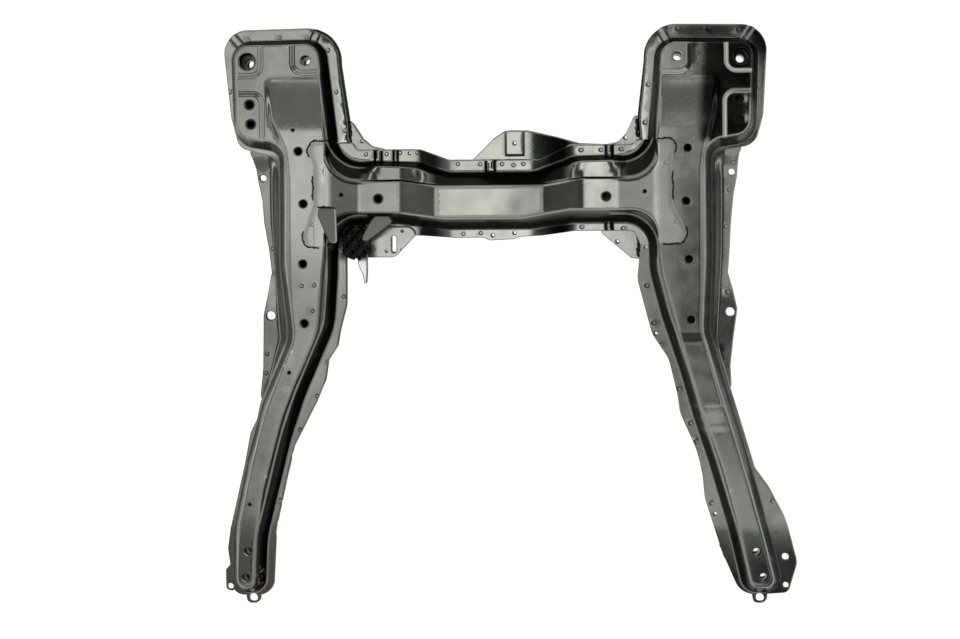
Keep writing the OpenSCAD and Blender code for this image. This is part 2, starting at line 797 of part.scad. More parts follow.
// Crush sleeve of a leg end, up to the falling face.
module leg_sleeve(p) {
    h = face_z - drop(p.y * ky - leg_hole_r - leg_sleeve_wall) - 2 * sheet - 0.2;
    translate([p.x * kx, p.y * ky, sheet])
        difference() {
            cylinder(h = h, r = leg_hole_r + leg_sleeve_wall, $fn = 64);
            translate([0, 0, -1])
                cylinder(h = 120, r = leg_hole_r, $fn = 48);
        }
}

module left_leg_sleeves() {
    color([0.45, 0.45, 0.44])
        for (p = left_leg_holes)
            leg_sleeve(p);
}

module right_leg_sleeves() {
    color([0.45, 0.45, 0.44])
        for (p = right_leg_holes)
            leg_sleeve(p);
}

// Hexagon weld nut hanging under a sheet whose underside is at height z.
module weld_nut(p, z) {
    translate([p.x * kx, p.y * ky, z - nut_h])
        difference() {
            rotate([0, 0, 30])
                cylinder(h = nut_h, d = nut_flats / cos(30), $fn = 6);
            translate([0, 0, -1])
                cylinder(h = nut_h + 2, r = nut_bore_r, $fn = 48);
        }
}

module pad_weld_nuts() {
    color([0.45, 0.45, 0.44])
        for (p = concat(left_side_holes, right_side_holes))
            weld_nut(p, floor_z);
}

module left_rail_nuts() {
    color([0.45, 0.45, 0.44])
        for (p = left_rail_holes)
            weld_nut(p, face_z - sheet);
}

module right_rail_nuts() {
    color([0.45, 0.45, 0.44])
        for (p = right_rail_holes)
            weld_nut(p, face_z - sheet);
}

module crossmember_nuts() {
    color([0.45, 0.45, 0.44])
        for (p = cross_holes)
            weld_nut(p, saddle_z - cross_dip - sheet);
}

left_rail_upper();
left_rail_lower();
right_rail_upper();
right_rail_lower();
crossmember_upper();
crossmember_lower();
left_rear_gusset();
right_rear_gusset();
right_front_gusset();
middle_bracket();
slotted_bracket();
cover_tab();
corner_plate();
hanger_bracket();
left_outer_sleeve();
right_outer_sleeve();
left_inner_sleeve();
right_inner_sleeve();
left_leg_sleeves();
right_leg_sleeves();
pad_weld_nuts();
left_rail_nuts();
right_rail_nuts();
crossmember_nuts();
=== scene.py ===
"""Front subframe, dressed: pressed sheets with their radii, spot welds, stiffening beads
and weld seams, in worn gloss black paint, seen from above on a pale floor.
Lengths are millimetres until the last step, where MM turns them into metres."""

import math

import bpy
import numpy as np
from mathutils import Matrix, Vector
from mathutils.geometry import delaunay_2d_cdt
from mathutils.kdtree import KDTree


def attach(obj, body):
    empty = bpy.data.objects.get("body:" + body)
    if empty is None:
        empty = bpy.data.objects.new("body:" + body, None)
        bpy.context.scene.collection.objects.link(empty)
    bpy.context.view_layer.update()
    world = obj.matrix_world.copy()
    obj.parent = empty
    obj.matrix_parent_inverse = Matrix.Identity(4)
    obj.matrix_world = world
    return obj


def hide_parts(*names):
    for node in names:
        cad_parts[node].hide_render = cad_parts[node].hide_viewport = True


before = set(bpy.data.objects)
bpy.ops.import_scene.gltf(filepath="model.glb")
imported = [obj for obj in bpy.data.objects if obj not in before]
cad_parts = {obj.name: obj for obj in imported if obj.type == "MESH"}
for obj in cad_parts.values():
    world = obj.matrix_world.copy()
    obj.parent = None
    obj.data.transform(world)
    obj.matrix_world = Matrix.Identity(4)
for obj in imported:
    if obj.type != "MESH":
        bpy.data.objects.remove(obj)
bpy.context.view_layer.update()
MM = 0.001

# Levels and pressing sizes, as in the solids.
SHEET = 2.5
PLATE = 3.0
GAP = 0.3
FLUSH = 0.7
LAP = SHEET + GAP
JOINT = 24.0
SHOULDER = 80.0
RISE = 12.0
MIDDLE_RISE = 14.0
CROSS_DIP = 8.0
WALL_RUN = 12.0
BEND_Y = -370.0
END_SLOPE = 18.0 / 130.0
WING_DROP = 14.0
RECESS = 7.0
LEG_DIP = 7.0
PAN_INSET = 5.0
PAN_RUN = 8.0

# Outlines run anticlockwise, each corner as [x, y, corner radius].
LEFT_FOOT = [
    [-317, 485, 36], [-482, 482, 34], [-477, 303, 42], [-396, 288, 22], [-396, 92, 120],
    [-381, -36, 60], [-429, -150, 300], [-456, -250, 300], [-482, -371, 200], [-485, -486, 28],
    [-429, -486, 26], [-424, -390, 200], [-381, -215, 300], [-356, -140, 300], [-303, -18, 120],
    [-297, 70, 150], [-295, 302, 150]]
LEFT_FACE = [
    [-318, 410, 6], [-409, 410, 6], [-402, 345, 40], [-377, 288, 40], [-372, 235, 100],
    [-372, 62, 150], [-366, -44, 40], [-381, -76, 60], [-420, -177, 300], [-447, -286, 300],
    [-464, -385, 200], [-470, -467, 13], [-441, -467, 12], [-436, -390, 200], [-424, -305, 300],
    [-390, -177, 300], [-369, -123, 200], [-328, -29, 120], [-321, 62, 60], [-315, 118, 40],
    [-314, 300, 40], [-318, 335, 30]]
LEFT_FLANGE = [
    [-292, 505, 56], [-500, 501, 40], [-484, 350, 40], [-470, 296, 24], [-410, 280, 20],
    [-402, 255, 30], [-402, 90, 120], [-388, -36, 50], [-435, -150, 100], [-441, -180, 30],
    [-453, -204, 30], [-463, -258, 200], [-489, -371, 200], [-495, -408, 14], [-492, -432, 14],
    [-490, -491, 24], [-417, -491, 26], [-409, -372, 200], [-390, -285, 300], [-376, -228, 200],
    [-337, -152, 200], [-320, -112, 60], [-315, -78, 20], [-299, -54, 20], [-294, -26, 60],
    [-282, 20, 80], [-282, 118, 60], [-274, 302, 60], [-276, 345, 60], [-290, 440, 100]]
RIGHT_FOOT = [
    [440, 479, 34], [262, 481, 36], [247, 302, 150], [249, 76, 120], [270, -5, 150],
    [303, -105, 300], [322, -173, 300], [351, -262, 300], [383, -372, 200], [410, -486, 28],
    [480, -486, 28], [459, -401, 200], [434, -308, 300], [407, -214, 300], [379, -122, 200],
    [352, -28, 60], [357, 92, 120], [357, 288, 22], [434, 300, 40]]
RIGHT_FACE = [
    [361, 406, 6], [271, 406, 6], [271, 335, 30], [264, 300, 40], [265, 118, 40], [271, 66, 60],
    [289, 0, 120], [313, -92, 200], [335, -165, 300], [369, -256, 300], [396, -357, 200],
    [419, -467, 13], [456, -467, 13], [437, -389, 200], [407, -281, 300], [370, -162, 300],
    [343, -64, 100], [331, -24, 40], [334, 62, 120], [334, 245, 80], [340, 290, 40],
    [354, 345, 40]]
RIGHT_FLANGE = [
    [455, 502, 44], [243, 505, 54], [240, 440, 100], [229, 345, 60], [232, 302, 40],
    [232, 110, 60], [227, 62, 40], [252, -34, 30], [281, -78, 50], [296, -142, 80],
    [300, -172, 40], [331, -242, 200], [339, -285, 50], [342, -320, 60], [371, -413, 300],
    [402, -484, 34], [428, -491, 20], [486, -487, 10], [501.5, -434, 34], [481, -357, 150],
    [452, -302, 60], [428, -268, 60], [415, -224, 200], [388, -134, 200], [358, -28, 50],
    [363, 90, 120], [363, 282, 18], [432, 294, 28], [446, 345, 60]]
CROSS_FOOT = [
    [244, 430, 3], [244, 279, 44], [114, 276, 50], [48, 250, 50], [-98, 250, 50],
    [-152, 268, 50], [-296, 273, 44], [-299, 430, 3], [-345, 430, 3], [-345, 0, 3],
    [-298, 0, 3], [-297, 160, 44], [-190, 161, 50], [-104, 150, 50], [48, 150, 50],
    [114, 160, 50], [248, 160, 44], [250, 0, 3], [300, 0, 3], [300, 430, 3]]
CROSS_FACE = [
    [322, 298, 3], [264, 298, 3], [264, 233, 52], [132, 234, 20], [68, 222, 20],
    [-121, 222, 20], [-182, 232, 20], [-313, 231, 56], [-313, 298, 3], [-362, 298, 3],
    [-362, 124, 3], [-313, 124, 3], [-313, 178, 46], [-182, 177, 30], [-105, 166, 30],
    [30, 166, 30], [112, 181, 30], [264, 181, 46], [264, 124, 3], [322, 124, 3]]
CROSS_FLANGE = [
    [256, 304, 3], [226, 304, 6], [220, 296, 12], [112, 296, 30], [58, 270, 30],
    [-100, 270, 30], [-152, 290, 24], [-262, 290, 12], [-270, 303, 6], [-303, 303, 3],
    [-303, 119, 3], [-288, 119, 5], [-282, 140, 12], [-150, 140, 40], [-90, 135, 30],
    [-40, 135, 10], [-30, 130, 8], [13, 132, 8], [24, 136, 10], [62, 138, 30],
    [118, 146, 40], [222, 146, 12], [234, 119, 8], [258, 119, 3]]
LEFT_SADDLE = [
    [-288, 302, 2], [-333, 302, 12], [-343, 288, 8], [-332, 262, 20], [-332, 192, 20],
    [-352, 138, 10], [-344, 119, 10], [-288, 119, 2]]
RIGHT_SADDLE = [
    [296, 301, 12], [240, 301, 2], [240, 121, 2], [302, 121, 12], [314, 138, 10],
    [288, 192, 20], [287, 258, 20]]
LEFT_RECESSES = [
    [[-422, 520, 2], [-520, 520, 2], [-520, 415, 2], [-422, 415, 20]],
    [[-300, 520, 2], [-372, 520, 2], [-372, 420, 20], [-300, 420, 2]],
    [[-420, 389, 20], [-520, 389, 2], [-520, 290, 2], [-420, 290, 2]]]
RIGHT_RECESSES = [
    [[460, 520, 2], [379, 520, 2], [379, 416, 20], [460, 416, 2]],
    [[321, 520, 2], [240, 520, 2], [240, 415, 2], [321, 415, 20]],
    [[460, 386, 2], [376, 386, 20], [376, 290, 2], [460, 290, 2]]]

# Stations of the wings: [y, inner edge, bend, outer edge, share of the drop].
LEFT_WING = [
    [300, -410, -428, -460, 0], [279, -402, -420, -448, 0.25], [260, -399, -417, -442, 0.7],
    [240, -399, -417, -439.5, 0.95], [205, -399, -417, -432, 1], [165, -399, -416, -429, 1],
    [120, -399, -412, -421, 1], [78, -398, -409, -416, 1], [40, -393, -408, -423, 1],
    [2, -388, -407, -431, 1],
    [-40, -386, -404, -431, 0.8], [-90, -407, -416, -431, 0.4], [-150, -430, -433, -436, 0]]
RIGHT_WING = [
    [300, 377, 390, 415, 0], [279, 366, 382, 404.5, 0.25], [260, 360, 378, 402, 0.7],
    [240, 360, 378, 400.5, 0.95], [205, 360, 378, 394, 1], [150, 360, 377, 389, 1], [110, 360, 376, 387, 1],
    [72, 359, 374, 384, 1], [40, 357, 372, 393, 1], [8, 356, 370, 400, 1],
    [-40, 358, 366, 393, 0.8], [-90, 370, 374, 387, 0.4], [-134, 384, 387, 389, 0]]

# Plates seen in plan.
LEFT_REAR_PLAN = [
    [-280, 345, 2], [-281, 282, 2], [-212, 282, 2], [-214, 291, 4], [-236, 296, 30],
    [-252, 310, 20], [-269, 336, 4]]
RIGHT_REAR_PLAN = [
    [238, 345, 2], [222, 345, 4], [209, 316, 30], [192, 299, 20], [170, 295, 4],
    [170, 287, 2], [230, 287, 2], [238, 296, 2]]
RIGHT_FRONT_PLAN = [
    [240, 152, 2], [164, 152, 2], [165, 142, 4], [217, 98, 4], [240, 96, 4]]
MIDDLE_PLAN = [
    [168, 296, 3], [128, 298, 40], [88, 309, 60], [38, 320, 12], [-3, 320, 12],
    [-24, 306, 20], [-58, 272, 4], [-58, 262, 2], [60, 262, 10], [100, 273, 10], [168, 274, 2]]
SLOTTED_PLAN = [
    [-168, 155, 14], [-246, 156, 3], [-246, 102, 3], [-196, 102, 12], [-158, 142, 8]]
SLOT_PLAN = [
    [-193.5, 140, 4.4], [-202.5, 140, 4.4], [-202.5, 110, 4.4], [-193.5, 110, 4.4]]
COVER_PLAN = [
    [-202, 172.5, 3], [-226, 172.5, 3], [-232, 167, 6], [-247, 141, 8], [-250, 130, 4],
    [-240, 129, 4], [-195, 162, 6]]
CORNER_PLAN = [
    [-294, 186, 4], [-323, 186, 4], [-324, 172, 6], [-304, 126, 3], [-292, 126, 3]]
EAR_PLAN = [[-480, -438, 2], [-493, -438, 5], [-500, -446, 5], [-500, -481, 7], [-486, -485, 4]]

# Places of the holes that go through both sheets of a rail.
LEFT_OUTER, RIGHT_OUTER = (-449, 443), (407, 443)
LEFT_INNER, RIGHT_INNER = (-347, 444), (297, 444)
LEFT_LUG, RIGHT_LUG = (-452, -496), (437, -496)
LEFT_CORNER, RIGHT_CORNER = (-492.5, -476), (482, -474)
LEFT_LEG = [(-450, -408), (-455, -454)]
RIGHT_LEG = [(428, -410), (440, -454)]
# Holes as (x, y, radius). In the upper sheets those over the lugs and over the left corner are wider.
ACCESS_R, INNER_R, SIDE_R, RAIL_R, CROSS_R, LEG_R = 15, 8.5, 9, 7.5, 8.5, 7.5
LUG_R, CORNER_R, PILOT_R, OUTER_R, WING_R, SMALL_R = 7.5, 5.5, 3, 7.5, 8, 6
LUG_CLEAR = 1
RIGHT_EDGE = (481, -424, 6.6)
RIGHT_PILOTS = [(360, -348, PILOT_R), (259, -34, PILOT_R)]
LEFT_UPPER_HOLES = (
    [(*LEFT_OUTER, ACCESS_R), (*LEFT_INNER, INNER_R), (-445, 368, SIDE_R), (-443, 334, SIDE_R)]
    + [(x, y, RAIL_R) for x, y in ((-358, 285), (-350, 194), (-351, 90), (-349, -13))]
    + [(x, y, LEG_R) for x, y in LEFT_LEG]
    + [(x, y, PILOT_R) for x, y in ((-367, 322), (-376, -98), (-446, -326))]
    + [(*LEFT_LUG, LUG_R + LUG_CLEAR), (*LEFT_CORNER, CORNER_R + LUG_CLEAR)])
RIGHT_UPPER_HOLES = (
    [(*RIGHT_OUTER, ACCESS_R), (*RIGHT_INNER, INNER_R), (403, 370, SIDE_R), (404, 335, SIDE_R)]
    + [(x, y, RAIL_R) for x, y in ((314, 285), (311, 194), (315, 94), (318, -10))]
    + [(x, y, LEG_R) for x, y in RIGHT_LEG]
    + RIGHT_PILOTS + [(*RIGHT_CORNER, CORNER_R), RIGHT_EDGE, (*RIGHT_LUG, LUG_R + LUG_CLEAR)])
CROSS_HOLES = [(-220, 202, CROSS_R), (174, 203, CROSS_R), (-284, 209, PILOT_R),
               (240, 211, PILOT_R), (-170, 284, 2.4), (-24, 139, PILOT_R), (14, 143, PILOT_R)]
LEFT_LOWER_HOLES = (
    [(*LEFT_OUTER, OUTER_R), (*LEFT_INNER, INNER_R), (-418, 1, WING_R), (-430, 243, SMALL_R),
     (*LEFT_LUG, LUG_R), (*LEFT_CORNER, CORNER_R)]
    + [(x, y, LEG_R) for x, y in LEFT_LEG])
RIGHT_LOWER_HOLES = (
    [(*RIGHT_OUTER, OUTER_R), (*RIGHT_INNER, INNER_R), (388, 3, WING_R), (392, 247, SMALL_R),
     (*RIGHT_LUG, LUG_R), (*RIGHT_CORNER, CORNER_R), RIGHT_EDGE]
    + RIGHT_PILOTS + [(x, y, LEG_R) for x, y in RIGHT_LEG])

# Spot welds on the flanges as (x, y).
LEFT_SPOTS = [
    (-397, 489), (-453, 486), (-350, 489), (-312, 466), (-298, 393), (-284, 325), (-485, 395),
    (-334, 9), (-353, 52), (-331, 53), (-287, 34), (-316, -80), (-335, -140), (-365, -199), (-401, -323)]
RIGHT_SPOTS = [
    (299, 497), (353, 496), (257, 485), (248, 400), (242, 334), (405, 494), (440, 393),
    (243, 50), (255, -15), (268, -53), (298, -130), (318, -190), (328, -222), (354, -329),
    (459, -326), (463, -373)]
CROSS_SPOTS = [
    (-246, 283), (-210, 283), (-186, 285), (-156, 285), (-84, 264), (-45, 263), (-7, 263),
    (13, 261), (30, 263), (130, 287), (165, 287), (200, 288), (-75, 142), (-45, 143),
    (131, 153), (203, 150), (-334, 158), (293, 159), (277, 260)]
LEFT_WING_SPOTS = [(-414, 119), (-411, 76), (-424, -66), (-425, -100)]
RIGHT_WING_SPOTS = [(384, 38), (382, 152), (395, 266), (388, 216)]
SPOT_R = 3.6

# Stiffening beads across the flanges as (x from, x to, y from, y to).
CROSS_BEADS = [(-233, -216, 272, 300), (-200, -188, 272, 300), (-38, -17, 250, 280),
               (171, 188, 276, 300), (170, 187, 135, 162)]
BEAD_H = 6.0
BEAD_SIDE = 5.0
# Beads across the corners of the pad flanges as (x, y, angle along the flange).
LEFT_BEADS = [(-471, 481, 42), (-336, 487, -24)]
RIGHT_BEADS = [(273, 490, 28), (421, 489, -34)]
PAD_BEAD_H = 4.0
BEAD_REACH = 26
# Painted shade in the hollows behind the hanger, as (x from, x to, y from, y to).
HANGER_SHADE_BOXES = [(-304, -246, 92, 174), (-256, -226, 92, 132)]
# Rusty chips at the end of the left leg, in the same form.
RUST = [(-442, -427, -482, -434)]


def ring(corners, inset=0.0, step=7.0, facet=6.0):
    """Closed polyline of an outline with rounded corners, moved inwards by inset."""
    c = np.array(corners, float)
    n = len(c)
    pts = []
    for i in range(n):
        a, b, d = c[i - 1], c[i], c[(i + 1) % n]
        u = (b - a)[:2] / np.hypot(*(b - a)[:2])
        v = (d - b)[:2] / np.hypot(*(d - b)[:2])
        m, w = np.array([-u[1], u[0]]), np.array([-v[1], v[0]])
        t = math.atan2(u[0] * v[1] - u[1] * v[0], u @ v)
        r = max(0.4, b[2] - inset if t > 0 else b[2] + inset)
        p = b[:2] + inset * (m + w) / (1 + m @ w)
        s = p - u * r * math.tan(abs(t) / 2)
        o = s + (m if t > 0 else -m) * r
        k = max(1, math.ceil(abs(math.degrees(t)) / facet), math.ceil(abs(t) * r / step))
        for j in range(k + 1):
            q = j * t / k
            e = s - o
            pts.append(o + np.array([e[0] * math.cos(q) - e[1] * math.sin(q),
                                     e[0] * math.sin(q) + e[1] * math.cos(q)]))
    out = []
    for a, b in zip(pts, pts[1:] + pts[:1]):
        k = max(1, math.ceil(np.hypot(*(b - a)) / step))
        out += [a + (b - a) * j / k for j in range(k)]
    return np.array(out)


def rings(corners, insets):
    return [ring(corners, d) for d in insets]


def edge_line(corners):
    """The outline with as few points as its distances need."""
    return ring(corners, 0.0, 200.0, 4.0)


def is_inside(poly, p):
    """Whether each point lies inside a closed polyline."""
    a, b = poly, np.roll(poly, -1, 0)
    hit = np.zeros(len(p), bool)
    for (x0, y0), (x1, y1) in zip(a, b):
        if y0 == y1:
            continue
        span = (y0 > p[:, 1]) != (y1 > p[:, 1])
        hit ^= span & (p[:, 0] < (x1 - x0) * (p[:, 1] - y0) / (y1 - y0) + x0)
    return hit


# Points that are measured at a time, to save memory.
CHUNK = 3000


def depth_in(poly, p):
    """Distance of each point from a closed polyline, positive inside."""
    a, b = poly, np.roll(poly, -1, 0)
    e = b - a
    ee = np.maximum((e * e).sum(1), 1e-12)
    out = np.empty(len(p))
    for i in range(0, len(p), CHUNK):
        q = p[i:i + CHUNK, None, :] - a[None]
        t = np.clip((q * e[None]).sum(2) / ee, 0, 1)[..., None]
        g = q - t * e[None]
        out[i:i + CHUNK] = np.sqrt((g * g).sum(2).min(1))
    return np.where(is_inside(poly, p), out, -out)


def smooth_min(a, b, k):
    return np.minimum(a, b) - np.maximum(k - np.abs(a - b), 0) ** 2 / (4 * k)


def smooth_max(a, b, k):
    return np.maximum(a, b) + np.maximum(k - np.abs(a - b), 0) ** 2 / (4 * k)


def ramp(t, w):
    """Nought below nought, t above it, rounded over w."""
    return 0.5 * (t + np.sqrt(t * t + w * w))


def ease(t):
    t = np.clip(t, 0, 1)
    return t * t * (3 - 2 * t)


def between(v, a, b):
    return ease((v - a) / (b - a))


def distance(p, x, y):
    return np.hypot(p[:, 0] - x, p[:, 1] - y)


def plateau(v, a, b, c, d):
    """Nought up to a, one from b to c, nought again from d on."""
    return between(v, a, b) * between(-v, -d, -c)


def bell(v, at, wide):
    return np.exp(-((v - at) / wide) ** 2)


def strongest(*films):
    return np.maximum.reduce(films)


def in_box(p, box, side, front, rear):
    """One inside a box of (x from, x to, y from, y to), fading over its borders."""
    x0, x1, y0, y1 = box
    x_share = plateau(p[:, 0], x0, x0 + side, x1 - side, x1)
    return x_share * plateau(p[:, 1], y0, y0 + front, y1 - rear, y1)


def bead_axes(p, bead):
    """Distance of each point from a bead, along its flange and across it."""
    x, y = p[:, 0] - bead[0], p[:, 1] - bead[1]
    a = math.radians(bead[2])
    return x * math.cos(a) + y * math.sin(a), y * math.cos(a) - x * math.sin(a)


def end_drop(y):
    return END_SLOPE * ramp(BEND_Y - y, 22.0)


def folded(x, marks, width):
    """Line through marks of (x, z) with each bend rounded over width."""
    a = np.array(marks, float)
    lean = np.concatenate([[0], np.diff(a[:, 1]) / np.diff(a[:, 0]), [0]])
    z = a[0, 1] + 0 * x
    for (at, _), turn in zip(a, np.diff(lean)):
        z = z + turn * ramp(x - at, width)
    return z


# Roundness of crests and feet, and the step from the shoulder up to the face.
CREST_K = 14.0
FOOT_K = 11.0
STEP_FROM, STEP_TO = -4.2, 0.6
INNER_STEP = 4.0
OUTER_STEP = 7.5
# The face comes down to the pad behind PAD_Y.
PAD_Y, PAD_SLOPE = 322, 0.144
LIP_FALL, LIP_W = 4.5, 6.5
LIP_FROM = {-1: -345, 1: 285}
# Middle line of each rail as (y, x).
LEFT_MIDDLE = [(-470, -455), (-400, -452), (-300, -436), (-180, -405), (-98, -376), (-30, -350),
               (60, -350), (285, -352), (420, -362)]
RIGHT_MIDDLE = [(-470, 438), (-370, 416), (-270, 387), (-160, 352), (-90, 328), (-20, 312),
                (60, 306), (285, 306), (420, 316)]


class Rail:
    """Outer skin of a rail's upper sheet as a height over the plan."""

    def __init__(self, name, foot, face, flange, recesses, middle, beads, side, dip):
        self.name = name
        self.foot_plan, self.face_plan, self.flange_plan, self.recess_plans = foot, face, flange, recesses
        self.foot, self.face, self.flange = edge_line(foot), edge_line(face), edge_line(flange)
        self.recesses = [edge_line(c) for c in recesses]
        self.middle = np.array(middle, float)
        self.beads, self.side, self.dip = beads, side, dip

    def lip(self, p):
        """Fall of the rolled lip along the inner edge of the pad flange."""
        x, y = -self.side * p[:, 0], p[:, 1]
        start = -self.side * LIP_FROM[self.side]
        on = between(x, start, start + 14) * between(y, 300, 310)
        d = np.clip(depth_in(self.flange, p), 0, LIP_W)
        return LIP_FALL * on * (1 - d / LIP_W) ** 1.4

    def height(self, p, grow=0.0, flange=True):
        """Height of the skin, grown outwards by grow, with or without its flange."""
        x, y = p.T
        s = depth_in(self.foot, p) + grow
        f = depth_in(self.face, p) + grow
        drop = end_drop(y)
        mid = np.interp(y, self.middle[:, 0], self.middle[:, 1])
        outer = between(self.side * (x - mid), -6, 10) * between(y, -60, -20)
        rise = ramp(RISE - PAD_SLOPE * ramp(y - PAD_Y, 5), 1.5) - self.dip(y)
        inner = between(-self.side * (x - mid), -6, 10) * between(y, -140, -60)
        start = STEP_FROM - OUTER_STEP * outer - INNER_STEP * inner
        top = SHOULDER + grow + rise * between(f, start, STEP_TO)
        for c in self.recesses:
            top = top - RECESS * between(depth_in(c, p), -3.0, 8.0)
        z = smooth_min(JOINT + s * (SHOULDER - JOINT) / WALL_RUN, top, CREST_K)
        if flange:
            low = JOINT + SHEET + 0 * z
            for bead in self.beads:
                t, n = bead_axes(p, bead)
                on = plateau(t, -9, -4, 4, 9) * (np.abs(n) < BEAD_REACH)
                low = low + PAD_BEAD_H * on * between(-s, -3, 2)
            z = smooth_max(z, low, FOOT_K) - self.lip(p)
        return z - drop


def no_dip(y):
    return 0 * y


def right_dip(y):
    """Dip in the right leg, which comes back up in two steps."""
    down = between(-y, 28, 52)
    half = between(-y, 152, 166)
    back = between(-y, 186, 208)
    return LEG_DIP * (down - 0.45 * half - 0.55 * back)


left_rail = Rail("left", LEFT_FOOT, LEFT_FACE, LEFT_FLANGE, LEFT_RECESSES, LEFT_MIDDLE, LEFT_BEADS,
                 -1, no_dip)
right_rail = Rail("right", RIGHT_FOOT, RIGHT_FACE, RIGHT_FLANGE, RIGHT_RECESSES, RIGHT_MIDDLE,
                  RIGHT_BEADS, 1, right_dip)
cross_foot, cross_face = edge_line(CROSS_FOOT), edge_line(CROSS_FACE)
left_saddle, right_saddle = edge_line(LEFT_SADDLE), edge_line(RIGHT_SADDLE)
CROSS_TOP = SHOULDER + LAP
SADDLE_TOP = SHOULDER + RISE + FLUSH
UNDER = JOINT - SHEET
CROWN = [(-309, FLUSH - LAP), (-252, -CROSS_DIP), (-182, -CROSS_DIP), (-121, MIDDLE_RISE),
         (68, MIDDLE_RISE), (132, -CROSS_DIP), (194, -CROSS_DIP), (259, FLUSH - LAP)]
FLANGE_RUN = [(-152, 0), (-98, MIDDLE_RISE), (48, MIDDLE_RISE), (114, 0)]
CROWN_W = 3.0
FLANGE_W = 9.0
# Line between the front wall of the cross-member and its rear wall.
MIDDLE_Y = 205


def flange_lift(x):
    return folded(x, FLANGE_RUN, FLANGE_W)


def shoulder_share(x, y):
    """How far the top of the wall is a level shoulder rather than one slope."""
    left = plateau(x, -258, -215, -165, -112)
    right = plateau(x, 98, 135, 180, 212)
    return np.where(y > MIDDLE_Y, 0.18 + 0.82 * (left + right), 0.25)


def cross_height(p):
    """Outer skin of the cross-member, with its saddle ends over the rails."""
    x = p[:, 0]
    s, f = depth_in(cross_foot, p), depth_in(cross_face, p)
    low = JOINT + flange_lift(x)
    crown = CROSS_TOP + folded(x, CROWN, CROWN_W)
    step = crown + RISE * between(f, STEP_FROM, STEP_TO)
    stepped = smooth_min(low + s * (CROSS_TOP - JOINT) / WALL_RUN, step, CREST_K)
    wall = low + (crown + RISE - low) * s / np.maximum(s - f, 6.0)
    sloped = smooth_min(wall, crown + RISE, 9.0)
    share = shoulder_share(x, p[:, 1])
    z = share * stepped + (1 - share) * sloped
    for x0, x1, y0, y1 in CROSS_BEADS:
        on = plateau(x, x0, x0 + BEAD_SIDE, x1 - BEAD_SIDE, x1) * between(-s, -3, 2)
        low = low + BEAD_H * on * ((p[:, 1] > y0) & (p[:, 1] < y1))
    z = smooth_max(z, low + SHEET, FOOT_K)
    for rail, on in ((left_rail, between(-x, 315, 326)), (right_rail, between(x, 266, 277))):
        skin = rail.height(p, FLUSH, False)
        high = between(z, 84, 90)
        z = (1 - on) * ((1 - high) * smooth_max(z, skin, 2.5) + high * np.maximum(z, skin)) + on * skin
    for line, on in ((left_saddle, between(-x, 300, 312)), (right_saddle, between(x, 252, 264))):
        d = depth_in(line, p)
        z = z - 0.5 * on * (1 - between(d, 0.2, 9)) * (d > -2)
    return z


def wing_at(stations, y):
    """Inner edge, bend, outer edge and share of the drop of a wing at each y."""
    t = np.array(stations, float)[::-1]
    return [np.interp(y, t[:, 0], t[:, k]) for k in (1, 2, 3, 4)]


def lower_height(wing, rail):
    side = rail.side
    ends = wing[-1][0], wing[0][0]

    def height(p):
        x, y = p.T
        s = depth_in(rail.foot, p)
        inner, bend, _, share = wing_at(wing, y)
        span = np.maximum(side * (bend - inner), 1.0)
        fall = WING_DROP * share * between(side * (x - inner), -2.0, span + 1.0)
        fall = fall * ((y > ends[0]) & (y < ends[1]))
        z = JOINT - end_drop(y) - fall - rail.lip(p)
        pan = JOINT - end_drop(y) - (s - PAN_INSET) * (JOINT - SHEET) / PAN_RUN
        return smooth_max(smooth_min(z, pan, 7.0), 0 * z + SHEET, 5.0)
    return height


def cross_pan_height(p):
    s = depth_in(cross_foot, p)
    low = JOINT + flange_lift(p[:, 0])
    pan = low - (s - PAN_INSET) * (JOINT - SHEET) / PAN_RUN
    return smooth_max(smooth_min(low, pan, 7.0), 0 * low + SHEET, 5.0)


def circle(x, y, r, n=40):
    a = np.arange(n) * 2 * math.pi / n
    return np.stack([x + r * np.cos(a), y + r * np.sin(a)], 1)


# Rolled edges and spot welds, and the mesh lines that carry them.
EDGE_ROLL = 0.7
EDGE_W = 1.3
EDGE_STEPS = (0.0, 0.35, 0.8, 1.5)
SPOT_STEPS = (0.4, 0.75, 1.0, 1.2, 1.5)
SPOT_DEPTH, SPOT_RIM = 0.6, 0.18
# Share of the grid by which its points keep off the lines.
GRID_CLEAR = 0.45
SLOPE_STEP = 0.15
# Darkness of the painted shade behind the hanger.
HANGER_SHADE_DARK = 0.93


def add_to_scene(name, data):
    obj = bpy.data.objects.new(name, data)
    bpy.context.scene.collection.objects.link(obj)
    return obj


